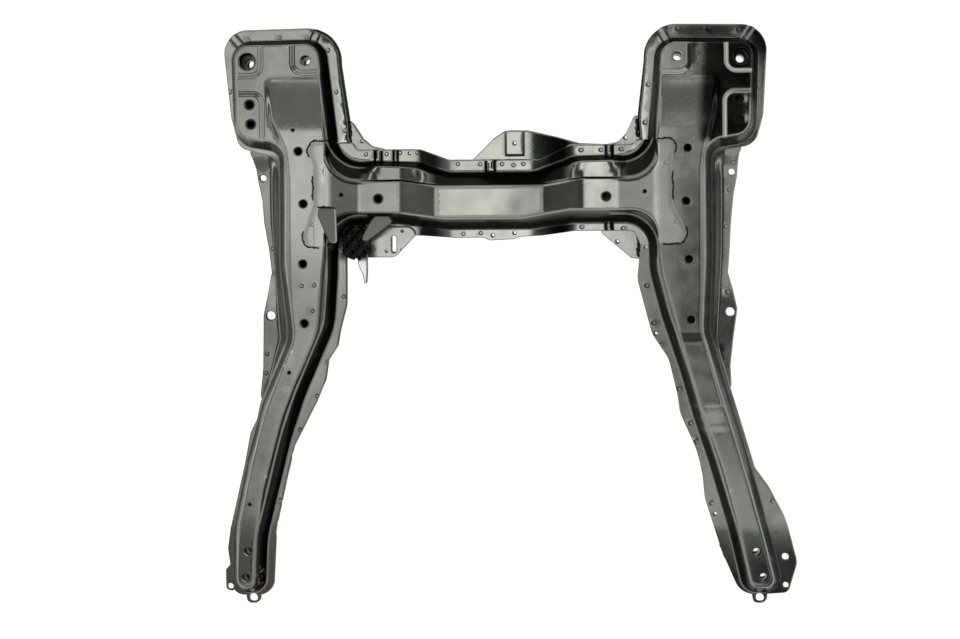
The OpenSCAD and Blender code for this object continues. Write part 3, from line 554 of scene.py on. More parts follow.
class Plan:
    """A sheet seen from above: its outlines, holes (x, y, radius), slots and spot welds."""

    def __init__(self, edges, holes, slots, spots):
        self.edges, self.holes, self.slots, self.spots = edges, holes, slots, spots
        self.outer = [edge_line(c) for c in edges]
        self.slot_lines = [ring(c, 0, 3, 12) for c in slots]
        self.pts, self.segs = [], []

    def add(self, line, closed=True, inside=False):
        """Takes a line into the mesh, or what of it lies inside the sheet."""
        ok = self.covers(line) if inside else np.ones(len(line), bool)
        start, n = len(self.pts), len(line)
        self.pts.extend(map(tuple, line))
        for i in range(n if closed else n - 1):
            j = (i + 1) % n
            if ok[i] and ok[j]:
                self.segs.append((start + i, start + j))

    def covers(self, p):
        return np.logical_or.reduce([is_inside(c, p) for c in self.outer])

    def add_borders(self):
        for c in self.edges:
            for d in EDGE_STEPS:
                self.add(ring(c, d))
        for c in self.slots:
            for d in EDGE_STEPS:
                self.add(ring(c, -d, 3, 12))
        for x, y, r in self.holes:
            for d in EDGE_STEPS + (3.5,):
                self.add(circle(x, y, r + d, 48 if r > 5 else 24))
        for x, y in self.spots:
            for k in SPOT_STEPS:
                self.add(circle(x, y, SPOT_R * k, 16))

    def add_grid(self, grid):
        """Fills the sheet with points that keep off the lines."""
        tree = KDTree(len(self.pts))
        for i, (x, y) in enumerate(self.pts):
            tree.insert((x, y, 0), i)
        tree.balance()
        box = np.concatenate(self.outer)
        lo, hi = box.min(0), box.max(0)
        ys = np.arange(lo[1] + grid / 2, hi[1], grid)
        gx, gy = np.meshgrid(np.arange(lo[0] + grid / 2, hi[0], grid), ys)
        gx = gx + (np.arange(len(ys)) % 2)[:, None] * grid / 2
        g = np.stack([gx.ravel(), gy.ravel()], 1)
        for x, y in g[self.covers(g)]:
            if tree.find((x, y, 0))[2] > GRID_CLEAR * grid:
                self.pts.append((x, y))

    def triangles(self, keep):
        """Points and anticlockwise triangles of the sheet, without its holes."""
        verts, _, faces, _, _, _ = delaunay_2d_cdt([Vector(p) for p in self.pts], self.segs, [], 0, 1e-4)
        p = np.array([(v.x, v.y) for v in verts])
        tri = np.array([f for f in faces if len(f) == 3])
        mid = p[tri].mean(1)
        ok = self.covers(mid)
        for x, y, r in self.holes:
            ok &= distance(mid, x, y) > r - 0.02
        for c in self.slot_lines:
            ok &= ~is_inside(c, mid)
        if keep is not None:
            ok &= keep(mid)
        tri = tri[ok]
        u, v = p[tri[:, 1]] - p[tri[:, 0]], p[tri[:, 2]] - p[tri[:, 0]]
        turned = u[:, 0] * v[:, 1] - u[:, 1] * v[:, 0] < 0
        tri[turned] = tri[turned][:, ::-1]
        used, tri = np.unique(tri, return_inverse=True)
        return p[used], tri.reshape(-1, 3)

    def border_distance(self, p):
        near = np.abs(np.maximum.reduce([depth_in(c, p) for c in self.outer]))
        for x, y, r in self.holes:
            near = np.minimum(near, np.abs(distance(p, x, y) - r))
        for c in self.slot_lines:
            near = np.minimum(near, np.abs(depth_in(c, p)))
        return near


def sheet_mesh(name, p, tri, z, nrm, thick):
    """Mesh of a sheet from its upper skin, with rims and smooth normals."""
    top = np.column_stack([p, z])
    m = len(p)
    edges = dict.fromkeys(e for a, b, c in tri.tolist() for e in ((a, b), (b, c), (c, a)))
    rims = [(b, a, a + m, b + m) for a, b in edges if (b, a) not in edges]
    mesh = bpy.data.meshes.new(name)
    faces = tri.tolist() + (tri[:, ::-1] + m).tolist() + rims
    mesh.from_pydata((np.vstack([top, top - nrm * thick]) * MM).tolist(), [], faces)
    mesh.polygons.foreach_set("use_smooth", [True] * len(mesh.polygons))
    a, b = np.array(rims)[:, :2].T
    out = np.cross(top[a] - top[b], nrm[a])
    out /= np.maximum(np.linalg.norm(out, axis=1), 1e-9)[:, None]
    normals = np.concatenate([nrm[tri.ravel()], -nrm[tri[:, ::-1].ravel()], np.repeat(out, 4, 0)])
    mesh.normals_split_custom_set(normals.tolist())
    return mesh


def store_painted_light_and_rust(mesh, p, z, nrm, colour_and_painted_light):
    """Stores the painted shade, the painted highlights (with a few paint chips) and the rust of a sheet on
    its upper skin.
    """
    # Painted shade down the steep walls, deeper on those that face +x and +y.
    tilt = between(1 - nrm[:, 2], 0.34, 0.6)
    dark = tilt * (0.5 + 0.5 * between(0.8 * nrm[:, 0] + 0.6 * nrm[:, 1], -0.5, 0.3))
    pale, rust = 0 * dark, 0 * dark
    if colour_and_painted_light is not None:
        own_dark, pale = colour_and_painted_light(p, nrm)
        dark = np.maximum(dark, own_dark)
    # Painted shade in the hollows behind the hanger.
    for box in HANGER_SHADE_BOXES:
        dark = np.maximum(dark, HANGER_SHADE_DARK * in_box(p, box, 6, 8, 6) * (z < 70))
    for box in RUST:
        rust = np.maximum(rust, in_box(p, box, 5, 9, 9))
    for key, value in (("shade", dark), ("pale", pale), ("rust", rust)):
        mark = mesh.attributes.new(key, "FLOAT", "POINT")
        mark.data.foreach_set("value", np.clip(np.concatenate([value, 0 * value]), 0, 1))


def press_sheet(name, edges, height, holes=(), spots=(), loops=(), keep=None, slots=(),
                grid=9.0, thick=SHEET, lines=(), colour_and_painted_light=None, roll=None):
    """A pressed sheet: a plan mesh lifted by height, thickened, with rolled edges,
    holes and spot-weld dimples. Returns the object."""
    plan = Plan(edges, holes, slots, spots)
    plan.add_borders()
    for line in loops:
        plan.add(line, True, True)
    for line in lines:
        plan.add(line, False, True)
    plan.add_grid(grid)
    p, tri = plan.triangles(keep)

    def skin(q):
        fall = EDGE_ROLL if roll is None else EDGE_ROLL * roll(q)
        z = height(q) - fall * np.clip(1 - plan.border_distance(q) / EDGE_W, 0, 1) ** 2
        for x, y in spots:
            t = distance(q, x, y) / SPOT_R
            z = z - SPOT_DEPTH * np.exp(-(1.15 * t) ** 6) + SPOT_RIM * bell(t, 1.2, 0.16)
        return z

    z = skin(p)
    dx = (skin(p + [SLOPE_STEP, 0]) - z) / SLOPE_STEP
    dy = (skin(p + [0, SLOPE_STEP]) - z) / SLOPE_STEP
    nrm = np.stack([-dx, -dy, np.ones(len(p))], 1)
    nrm /= np.linalg.norm(nrm, axis=1)[:, None]
    mesh = sheet_mesh(name, p, tri, z, nrm, thick)
    store_painted_light_and_rust(mesh, p, z, nrm, colour_and_painted_light)
    return add_to_scene(name, mesh)


# Insets of the mesh lines along each kind of outline.
FOOT_LINES = (-3.4, -2.2, -1.1, 0.0, 0.9, 2.0, 3.4, 6.0, 8.0, 9.4, 10.6, 11.8, 13.0, 14.4, 16.0)
FACE_LINES = (-11.5, -9.0, -7.0, -5.2, -4.2, -3.2, -2.0, -0.8, 0.4, 1.4, 2.8, 4.6)
RECESS_LINES = (-3.4, -1.8, 0.0, 1.7, 3.4, 5.1, 6.8, 8.4)
CROSS_LINES = (-9.0, -6.5, -4.4, -3.0, -1.6, 0.0, 1.6, 3.2, 5.0, 7.5)
LIP_LINES = (2.6, 4.0, 6.4)
PAN_LINES = (2.5, 4.2, 5.5, 7.0, 9.0, 11.0, 12.5, 14.5)


def spot_loops(side):
    """Rings around the small pale spots of one rail."""
    return [circle(x, y, k * max(w, h), 12) for x, y, w, h, _ in RAIL_PALE
            if side * x > 0 and max(w, h) < 10 for k in (0.4, 0.9, 1.4)]


def upper_loops(rail):
    loops = rings(rail.foot_plan, FOOT_LINES) + rings(rail.face_plan, FACE_LINES)
    loops += rings(rail.flange_plan, LIP_LINES)
    for c in rail.recess_plans:
        loops += rings(c, RECESS_LINES)
    return loops + spot_loops(rail.side)


def level_lines(x0, x1, rows):
    return [np.column_stack([np.arange(x0, x1, 5.0), 0 * np.arange(x0, x1, 5.0) + y]) for y in rows]


def bead_lines(beads):
    """Lines across a flange along the sides of its beads."""
    out = []
    for x, y, turn in beads:
        a = math.radians(turn)
        u, v = np.array([math.cos(a), math.sin(a)]), np.array([-math.sin(a), math.cos(a)])
        for t in (-9, -7.4, -5.7, -4, 0, 4, 5.7, 7.4, 9):
            out.append(np.array([[x, y] + t * u + n * v for n in np.linspace(-16, 16, 14)]))
    return out


# The cross-member comes in between these lines.
CROSS_FRONT, CROSS_REAR = 116, 306


def clear_of_cross(rail, x0, x1):
    """Leaves the inner flange open where the cross-member comes in."""
    def keep(p):
        x, y = p.T
        room = (x > x0) & (x < x1) & (y > CROSS_FRONT) & (y < CROSS_REAR)
        return ~(room & (depth_in(rail.foot, p) < 0))
    return keep


def wing_outline(stations):
    s = [[o, y, 12] for y, i, b, o, _ in stations]
    t = [[i, y, 1] for y, i, b, o, _ in stations]
    left = stations[0][3] < stations[0][1]
    return s + t[::-1] if left else s[::-1] + t


def lug_plan(x, y):
    r = LUG_R + 2
    return [[x - 14, y + 16, 1], [x - r - 1.5, y - r, r - 0.6], [x + r + 1.5, y - r, r - 0.6],
            [x + 14, y + 16, 1]]


def patch(p, x, y, w, h):
    """Soft spot of half width w and half height h."""
    return np.exp(-((p[:, 0] - x) / w) ** 2 - ((p[:, 1] - y) / h) ** 2)


# Painted shade along each rail as (y, share), and painted shade and painted highlight down the walls of its
# recesses as (upright walls, level walls), where less than nought is painted shade and more is painted
# highlight.
LEFT_RUN = [(-490, 0.52), (-376, 0.5), (-366, 0.42), (-250, 0.5), (-100, 0.4), (0, 0.48), (60, 0.35),
            (110, 0.2), (150, 0)]
RIGHT_RUN = [(-490, 0.68), (-378, 0.6), (-368, 0.1), (-300, 0.1), (-230, 0.3), (-90, 0.43), (0, 0.57),
             (100, 0.45), (150, 0.38), (200, 0.24), (290, 0.1), (320, 0)]
LEFT_BANDS = [(0.3, 0.25), (-0.45, 0.3), (0.45, -0.35)]
RIGHT_BANDS = [(1.0, 0.95), (-0.9, 0.6), (1.0, 0.8)]
# Painted highlights along the crests, and on the beads of the right pad.
CREST_AT, CREST_W = 13.7, 1.15
BEAD_GLEAM_AT, BEAD_GLEAM_W = (0, 5.2), (3.5, 1.6)
# Spots on the rails as (x, y, half width, half height, share): RAIL_DARK is painted shade, RAIL_PALE
# painted highlights with a few small paint chips and scratches on the legs.
RAIL_DARK = [(262, 490, 8, 16, 0.92), (345, 492, 62, 14, 0.95), (447, 472, 20, 30, 1.4),
             (430, 496, 26, 14, 1.3)]
RAIL_PALE = [(-382, -86, 2.6, 2.2, 0.95), (-387, -84, 2, 2, 0.7), (-378, -127, 7, 2.4, 0.4),
             (-378, -73, 9, 9, 0.16), (-418, -277, 2.4, 3, 0.9), (384, -304, 2.2, 3, 0.95),
             (353, -159, 22, 4, 0.42), (362, -198, 20, 6, 0.42), (356, -178, 20, 14, 0.28),
             (468, -356, 22, 20, 0.56), (368, -360, 10, 9, 0.35),
             (415, 370, 3.5, 7, 0.4), (416, 337, 3.5, 7, 0.45), (441, 372, 6, 66, 0.2),
             (252, 400, 7, 80, 0.18), (302, 336, 30, 13, 0.2)]


def rail_painted_light_and_chips(rail, run, bands):
    """Painted shade and painted highlights on a rail's upper sheet, with a few paint chips."""
    ys, shares = np.array(run, float).T
    right = rail.side > 0

    def colour_and_painted_light(p, nrm):
        x, y = p.T
        s, f = depth_in(rail.foot, p), depth_in(rail.face, p)
        mid = np.interp(y, rail.middle[:, 0], rail.middle[:, 1])
        outer = between(rail.side * (x - mid), -4, 12)
        inner = 1 - outer
        strip = outer * plateau(y, -80, -40, 272, 290) * between(-s, -2, 1)
        dark = strongest(0.74 * strip, 0.96 * between(rail.lip(p), 0.5, 1.6), np.interp(y, ys, shares))
        gleams = []
        for bead, at, wide in zip(rail.beads, BEAD_GLEAM_AT, BEAD_GLEAM_W):
            t, n = bead_axes(p, bead)
            t, near = np.abs(t), np.abs(n) < BEAD_REACH
            dark = np.maximum(dark, 0.8 * plateau(t, 3.6, 4.6, 8, 9.2) * (s < 1) * near)
            gleams.append(0.6 * right * bell(t, at, wide) * (s < 0) * near)

        # Painted highlights along the crest, the edge of the face and the foot, and on the outer wall.
        black = right * outer * between(y, 355, 385)
        crest = bell(s, CREST_AT, CREST_W) * (0.4 + 0.4 * outer) * (1 - 0.85 * between(y, 440, 465))
        wall = between(1 - nrm[:, 2], 0.3, 0.6) * between(rail.side * nrm[:, 0], 0, 0.4)
        pale = strongest(crest * (1 - 0.8 * black), 0.17 * wall * (1 - black),
                         0.35 * inner * bell(f, 1.5, 2.2) * between(-y, -70, -40),
                         0.4 * inner * bell(s, -1.6, 1.3) * between(-y, -118, -100))

        # Painted shade on the top of the pad.
        flat = between(s, 6, 9)
        if right:
            half = between(x - 0.05 * (y - 300), 325, 341)
            dark = np.maximum(dark, 0.97 * half * between(y, 292, 302) * flat)
        else:
            off_ramp = np.maximum(between(y, 400, 412), between(-x, 400, 412))
            dark = np.maximum(dark, 0.27 * between(y, 300, 320) * flat * off_ramp)

        # Painted shade and painted highlights on the walls of the recesses.
        up = between(np.abs(nrm[:, 0]) - np.abs(nrm[:, 1]), -0.1, 0.1)
        in_crest = between(s, 11, 14)
        for c, (up_gain, level_gain) in zip(rail.recesses, bands):
            d = depth_in(c, p)
            band = plateau(d, -3, 0, 5, 8) * in_crest
            gain = up_gain * up + level_gain * (1 - up)
            dark = np.maximum(dark * (1 - band * (gain > 0)), -gain * band)
            if up_gain < -0.5:
                beside = plateau(d, -12, -8, 1, 4) * between(y, 424, 434)
                dark = np.maximum(dark, -up_gain * beside * in_crest)
            gleam = 0.35 + 0.65 * bell(d, 3.8, 1.7)
            if right:
                gleam = gleam * np.maximum(between(y, 400, 405), between(-x, -402, -384))
            pale = np.maximum(pale, gain * band * gleam)

        # Spots of painted shade and painted highlights, the painted gleams on the beads, and a few paint
        # chips.
        for mx, my, w, h, share in RAIL_DARK:
            dark = np.maximum(dark, np.minimum(share * patch(p, mx, my, w, h), 0.97) * (s < 2))
        for on in gleams:
            dark, pale = dark * (1 - on), np.maximum(pale, on)
        for mx, my, w, h, share in RAIL_PALE:
            on = patch(p, mx, my, w, h)
            dark = dark * (1 - min(1, 2 * share) * on)
            pale = np.maximum(pale, share * on)
        return dark, pale
    return colour_and_painted_light


# Pale spots on the wings, in the same form.
WING_PALE = [(-413, 42, 9, 24, 0.28)]
# Painted shade on the rim of each lower sheet as (y, ...) and (share, ...), by side.
RIM_DARK = {-1: ((-500, -374, -366, -10, 20, 300), (0.5, 0.5, 0.4, 0.6, 0.42, 0.3)),
            1: ((-500, -374, -366, -10, 60, 300), (0.5, 0.5, 0.1, 0.4, 0, 0))}
# Painted shade inside the pans.
PAN_DARK = 0.98


def wing_painted_light(wing, rail):
    """Painted shade inside the pan, down the fold of the wing and along its rim, with painted highlights
    along the fold and the right rim, and pale spots.
    """
    side = rail.side

    def colour_and_painted_light(p, nrm):
        y = p[:, 1]
        inner, bend, _, share = wing_at(wing, y)
        k = side * (p[:, 0] - inner) / np.maximum(side * (bend - inner), 1.0)
        fold = share * plateau(k, -0.5, -0.2, 0.8, 1.15)
        in_pan = between(depth_in(rail.foot, p), 0, 4)
        dark = strongest(0.9 * fold, np.interp(y, *RIM_DARK[side]), PAN_DARK * in_pan)
        spot = 0 * dark
        for mx, my, w, h, share in WING_PALE:
            spot = np.maximum(spot, share * patch(p, mx, my, w, h) * between(k, 0.9, 1.1))
        dark = dark * (1 - between(spot, 0.05, 0.2))
        spot = np.maximum(spot, 0.09 * fold)
        if side > 0:
            spot = np.maximum(spot, 0.16 * between(k, 1.0, 1.2) * between(y, 20, 60))
        return dark, spot
    return colour_and_painted_light


# Painted shade where the flange of the cross-member slopes, as (x, share).
FLANGE_DARK = [(-157, 0), (-151, 0.96), (-125, 0.94), (-108, 0.45), (-90, 0), (40, 0), (60, 0.35),
               (80, 0.9), (102, 0.97), (110, 0.6), (119, 0)]


def cross_painted_light(p, nrm):
    """Painted shade and painted highlights on the cross-member."""
    x, y = p.T
    s, f = depth_in(cross_foot, p), depth_in(cross_face, p)
    rear = y > MIDDLE_Y
    face = between(f, -3, 1)
    centre = plateau(x, -121, -117, 64, 68)
    wall = between(s, 0.5, 3) * between(-f, 3, 6) * (1 - shoulder_share(x, y))
    dark = np.where(rear, 1.2, 0.95) * wall
    for x0, x1, y0, y1 in CROSS_BEADS:
        on = ((y > y0 - 3) & (y < y1 + 3)) * between(-s, -2, 0)
        for a in (x0, x1 - BEAD_SIDE):
            b = a + BEAD_SIDE
            dark = np.maximum(dark, 0.95 * on * plateau(x, a - 0.6, a + 0.6, b - 0.6, b + 0.6))
    middle = 0.14 + 0.36 * between(x, -40, 55) + 0.2 * patch(p, 18, 188, 14, 16)
    shoulder = between(-f, 0, 3) * rear * between(s, 9, 12)
    dark = strongest(
        dark, np.interp(x, *np.array(FLANGE_DARK).T) * between(-s, -3, 1),
        0.83 * face * plateau(x, -312, -298, -257, -251), 0.56 * face * plateau(x, 191, 198, 250, 264),
        face * centre * middle, 0.3 * face * plateau(x, -257, -251, -186, -180),
        0.3 * shoulder * plateau(x, -262, -250, -120, -100))
    ends = bell(x, -115, 1.5) + bell(x, 62, 1.9)
    square = bell(x, -186, 1.5) * between(f, 0, 3) + bell(f, 2.5, 1.4) * plateau(x, -250, -246, -188, -184)
    crest = bell(s, CREST_AT, CREST_W) * (np.maximum(x - 180, -245 - x) > 0)
    pale = strongest(
        0.6 * bell(f, 0, 1.3) * ~rear * between(x, -190, -170), 0.55 * centre * bell(f, 4, 1.3),
        0.6 * ends * between(f, 2, 5), 0.4 * np.clip(square, 0, 1), 0.4 * crest,
        0.14 * between(-x, 314, 322) + 0.24 * between(x, 262, 270))
    return np.clip(dark, 0, 0.98), pale


def corner_painted_highlight(p, nrm):
    """Painted highlight along the right-hand edge of the corner plate."""
    d = depth_in(edge_line(CORNER_PLAN), p)
    return 0 * d, 0.85 * (d < 0.9) * (p[:, 0] > -300) * (p[:, 1] < 184)


def middle_painted_shade(p, nrm):
    """Painted shade where the middle bracket slopes."""
    dark = np.interp(p[:, 0], (36, 48, 76, 103, 112), (0, 0.35, 0.82, 0.97, 0.5))
    return dark, 0 * dark


def strip_roll(p):
    """The rim of a rail is hardly rolled where a wing goes on from it."""
    return np.where((p[:, 1] > -60) & (p[:, 1] < 285) & ((p[:, 0] < -380) | (p[:, 0] > 345)), 0.2, 1.0)


def pan_painted_shade(p, nrm):
    """Painted shade inside the lower pan of the cross-member."""
    dark = PAN_DARK * between(depth_in(cross_foot, p), 0, 4)
    return dark, 0 * dark


def saddle_roll(p):
    """The rim of the cross-member is not rolled where it is welded down."""
    return np.where((p[:, 0] < -306) | (p[:, 0] > 258), 0.12, 1.0)


def upright(x, y0, y1, step=6.0):
    y = np.linspace(y0, y1, max(2, round((y1 - y0) / step)))
    return np.column_stack([0 * y + x, y])


def wing_lines(stations):
    """Lines along the fold of a wing."""
    y = np.arange(stations[-1][0] + 4, stations[0][0] - 1, 5.0)
    inner, bend, _, _ = wing_at(stations, y)
    return [np.column_stack([inner + k * (bend - inner), y])
            for k in (-0.14, 0.08, 0.3, 0.52, 0.74, 0.94, 1.12)]


def cross_lines():
    """Lines along the creases and the beads of the cross-member."""
    out = [upright(x + d, 128, 302) for x, _ in CROWN for d in (-5, -2.5, 0, 2.5, 5)]
    for x0, x1, y0, y1 in CROSS_BEADS:
        mid = (x0 + x1) / 2
        for x in (x0, x0 + 1.3, x0 + 2.7, x0 + 4, mid, x1 - 4, x1 - 2.7, x1 - 1.3, x1):
            out.append(upright(x, y0 - 2, y1 + 2, 2.5))
    return out


pieces = {}
left_keep, right_keep = clear_of_cross(left_rail, -304, -224), clear_of_cross(right_rail, 175, 255)
# Mesh lines across the steps of the right leg.
right_rows = level_lines(325, 390, range(-211, -147, 4))
for rail, holes, spots, keep, rows, run, bands in (
        (left_rail, LEFT_UPPER_HOLES, LEFT_SPOTS, left_keep, [], LEFT_RUN, LEFT_BANDS),
        (right_rail, RIGHT_UPPER_HOLES, RIGHT_SPOTS, right_keep, right_rows, RIGHT_RUN, RIGHT_BANDS)):
    pieces[f"{rail.name}_rail_upper"] = press_sheet(
        f"{rail.name}_upper_sheet", [rail.flange_plan], rail.height, holes, spots, upper_loops(rail), keep,
        lines=bead_lines(rail.beads) + rows, colour_and_painted_light=rail_painted_light_and_chips(rail, run, bands), roll=strip_roll)
pieces["crossmember_upper"] = press_sheet(
    "cross_upper_sheet", [CROSS_FLANGE, LEFT_SADDLE, RIGHT_SADDLE], cross_height,
    CROSS_HOLES, CROSS_SPOTS,
    rings(CROSS_FOOT, FOOT_LINES) + rings(CROSS_FACE, CROSS_LINES)
    + [ring(c, d - LAP) for c in (LEFT_FOOT, RIGHT_FOOT) for d in FOOT_LINES[2:]]
    + [line for c in (LEFT_SADDLE, RIGHT_SADDLE) for line in rings(c, (3.0, 5.0))],
    lines=cross_lines(), grid=6.0, colour_and_painted_light=cross_painted_light, roll=saddle_roll)

for rail, wing, ends, holes, spots, keep in (
        (left_rail, LEFT_WING, [lug_plan(*LEFT_LUG), EAR_PLAN], LEFT_LOWER_HOLES, LEFT_WING_SPOTS,
         left_keep),
        (right_rail, RIGHT_WING, [lug_plan(*RIGHT_LUG)], RIGHT_LOWER_HOLES, RIGHT_WING_SPOTS,
         right_keep)):
    pieces[f"{rail.name}_rail_lower"] = press_sheet(
        f"{rail.name}_lower_sheet", [rail.flange_plan, wing_outline(wing)] + ends, lower_height(wing, rail),
        holes, spots, rings(rail.foot_plan, PAN_LINES), keep, lines=wing_lines(wing),
        colour_and_painted_light=wing_painted_light(wing, rail))


def outside_rails(p):
    """Leaves the lower pan of the cross-member off the pans of the rails."""
    return ((depth_in(left_rail.foot, p) < PAN_INSET - 0.5)
            & (depth_in(right_rail.foot, p) < PAN_INSET - 0.5))


pieces["crossmember_lower"] = press_sheet(
    "cross_lower_sheet", [CROSS_FLANGE], cross_pan_height, CROSS_HOLES[4:],
    loops=rings(CROSS_FOOT, PAN_LINES), keep=outside_rails, colour_and_painted_light=pan_painted_shade)


def level(z):
    return lambda p: 0 * p[:, 0] + z


# Pocket of the middle bracket as (x from, x to, y from, y to).
POCKET = (-3, 33, 276, 322)
POCKET_H = 5.0
HANGER_TOP = CROSS_TOP - CROSS_DIP


def middle_height(p):
    """Top of the middle bracket, with its pressed pocket."""
    x, y = p.T
    x0, x1, y0, _ = POCKET
    up = plateau(x, x0, x0 + 5, x1 - 5, x1) * between(y, y0, y0 + 5)
    return UNDER + flange_lift(x) + POCKET_H * up


def pocket_loops():
    x0, x1, y0, y1 = POCKET
    return [ring([[x1 - d, y1, 1], [x0 + d, y1, 1], [x0 + d, y0 + d, 1], [x1 - d, y0 + d, 1]],
                 0, 3, 15) for d in (0, 1, 2, 3, 4, 5)]


plates = {
    "left_rear_gusset": (LEFT_REAR_PLAN, level(UNDER), PLATE, [(-254, 306, 2.4)]),
    "right_rear_gusset": (RIGHT_REAR_PLAN, level(UNDER), PLATE, [(208, 308, 3)]),
    "right_front_gusset": (RIGHT_FRONT_PLAN, level(UNDER), PLATE, [(193, 127, 3)]),
    "cover_tab": (COVER_PLAN, level(HANGER_TOP + SHEET), SHEET, []),
    "corner_plate": (CORNER_PLAN, level(SADDLE_TOP + SHEET), SHEET, [])}
for node_name, (plan, top, thick, holes) in plates.items():
    pieces[node_name] = press_sheet(node_name + "_plate", [plan], top, holes, thick=thick, grid=6,
                                    colour_and_painted_light=corner_painted_highlight if node_name == "corner_plate" else None)
pieces["middle_bracket"] = press_sheet(
    "middle_bracket_plate", [MIDDLE_PLAN], middle_height, [(15, 299, 3)], thick=PLATE, grid=6,
    loops=pocket_loops(), colour_and_painted_light=middle_painted_shade)
pieces["slotted_bracket"] = press_sheet(
    "slotted_bracket_plate", [SLOTTED_PLAN], level(JOINT + SHEET + PLATE),
    [(-183, 148, 2.1), (-184, 115, 2.1), (-211, 113, 2.1)], thick=PLATE, grid=6,
    slots=[SLOT_PLAN])


HANGER_PLAN = [
    [-246, 158, 3], [-262, 160, 2], [-276, 158, 3], [-286, 146, 4], [-286, 128, 2], [-285, 108, 3],
    [-276, 101, 2], [-266, 97, 2], [-262, 101, 1], [-257, 95, 2], [-252, 103, 2], [-247, 99, 2],
    [-242, 108, 3], [-241, 132, 4]]
TONGUE_PLAN = [
    [-245, 118, 3], [-261, 118, 3], [-260, 92, 3], [-256, 80, 3], [-252, 72, 2], [-249, 55, 1.5],
    [-246, 57, 1.5], [-244.5, 80, 4]]


def hanger_height(p):
    """Top of the channel, dented and sagging to its torn front."""
    x, y = p.T
    sag = 9 * between(-y, -128, -96) + 3.5 * np.sin(x * 0.31 + 1) * np.sin(y * 0.27)
    return HANGER_TOP - 14 - sag


def tongue_height(p):
    return HANGER_TOP - 32 - 0.05 * (118 - p[:, 1])


hanger = press_sheet("hanger_channel", [HANGER_PLAN], hanger_height, thick=PLATE, grid=5)
tongue = press_sheet("hanger_tongue", [TONGUE_PLAN], tongue_height, thick=PLATE, grid=5)
for obj in (hanger, tongue):
    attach(obj, "root")
    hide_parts("hanger_bracket")


SEAM_LIFT = 0.6
SEAM_DEPTH = 1.2
SEAM_STEP = 0.6
SEAM_SIDES = 14


def weld_seam(name, path, width=3.0, height=1.4, seed=0):
    """A rippled weld bead along a path of (x, y, z) points."""
    p = np.array(path, float)
    run = np.concatenate([[0], np.cumsum(np.linalg.norm(np.diff(p, axis=0), axis=1))])
    n = max(8, int(run[-1] / SEAM_STEP))
    t = np.linspace(0, run[-1], n)
    q = np.stack([np.interp(t, run, p[:, k]) for k in range(3)], 1)
    d = np.gradient(q, axis=0)
    d /= np.linalg.norm(d, axis=1)[:, None]
    side = np.cross(d, [0, 0, 1.0])
    side /= np.linalg.norm(side, axis=1)[:, None]
    ends = np.clip(np.minimum(t, run[-1] - t) / (0.6 * width), 0, 1) ** 0.5
    wob = 1 + 0.16 * np.sin(t * 0.55 + seed) + 0.10 * np.sin(t * 1.31 + 2 * seed)
    ripple = 1 + 0.13 * np.abs(np.sin(t * math.pi / 2.3 + seed))
    sway = 0.7 * np.sin(t * 0.23 + 3 * seed) + 0.4 * np.sin(t * 0.71 + seed)
    w = (0.5 * width * wob * ends)[:, None]
    h = (height * ripple * (0.25 + 0.75 * ends))[:, None]
    m = SEAM_SIDES
    a = 2 * math.pi * np.arange(m) / m
    up = np.sin(a) * np.where(np.sin(a) > 0, h, SEAM_DEPTH)
    across = sway[:, None] + w * np.cos(a)
    verts = q[:, None] + side[:, None] * across[..., None] + up[..., None] * [0, 0, 1]
    faces = [(i + j, i + m + j, i + m + (j + 1) % m, i + (j + 1) % m)
             for i in range(0, (n - 1) * m, m) for j in range(m)]
    faces += [tuple(range(m)), tuple(range(n * m - 1, (n - 1) * m - 1, -1))]
    mesh = bpy.data.meshes.new(name)
    mesh.from_pydata((verts.reshape(-1, 3) * MM).tolist(), [], faces)
    mesh.polygons.foreach_set("use_smooth", [True] * len(faces))
    return add_to_scene(name, mesh)


def on_rail(rail, path):
    return np.column_stack([path, rail.height(path) + SEAM_LIFT])


def stretch(corners, a, b):
    """Part of an outline, a little outside it, from the point nearest a to that nearest b."""
    line = ring(corners, -0.8, 2.0, 8.0)
    i, j = (int(np.argmin(distance(line, *end))) for end in (a, b))
    if j < i:
        j += len(line)
    return np.take(line, range(i, j + 1), axis=0, mode="wrap")


# Seams of the saddles as (rail, outline, from, to).
SEAMS = [
    (left_rail, LEFT_SADDLE, (-304, 302), (-338, 274)),
    (left_rail, LEFT_SADDLE, (-332, 243), (-332, 199)),
    (left_rail, LEFT_SADDLE, (-349, 147), (-322, 119)),
    (right_rail, RIGHT_SADDLE, (291, 276), (262, 301)),
    (right_rail, RIGHT_SADDLE, (289, 196), (287, 245)),
    (right_rail, RIGHT_SADDLE, (270, 121), (308, 150))]
seams = [weld_seam(f"saddle_seam_{k}", on_rail(rail, stretch(c, a, b)), seed=k)
         for k, (rail, c, a, b) in enumerate(SEAMS, 1)]
PLATE_SEAM_Z = SADDLE_TOP + SEAM_LIFT
# Seams of the plates as (name, path, z, width, height, seed).
PLATE_SEAMS = [
    ("corner_plate_seam", [(-325, 188), (-310, 187.5), (-297, 187.5)], PLATE_SEAM_Z, 3.4, 1.6, 9),
    ("left_rear_gusset_seam", [(-273.5, 300), (-274.5, 322), (-275, 343)], UNDER, 6, 2.4, 3),
    ("right_rear_gusset_seam", [(229.5, 308), (228, 326), (227.5, 343)], UNDER, 6, 2.4, 5),
    ("right_front_gusset_seam", [(229, 99), (229.5, 118), (229.5, 140)], UNDER, 6, 2.4, 7)]
for seam_name, path, z, width, height, seed in PLATE_SEAMS:
    seams.append(weld_seam(seam_name, [(x, y, z) for x, y in path], width, height, seed))
for o in seams:
    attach(o, "root")

for piece_name, obj in pieces.items():
    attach(obj, "root")
    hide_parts(piece_name)


def set_values(thing, values):
    for key, value in values.items():
        setattr(thing, key, value)
    return thing


def set_inputs(node, values):
    for key, value in values.items():
        node.inputs[key].default_value = value


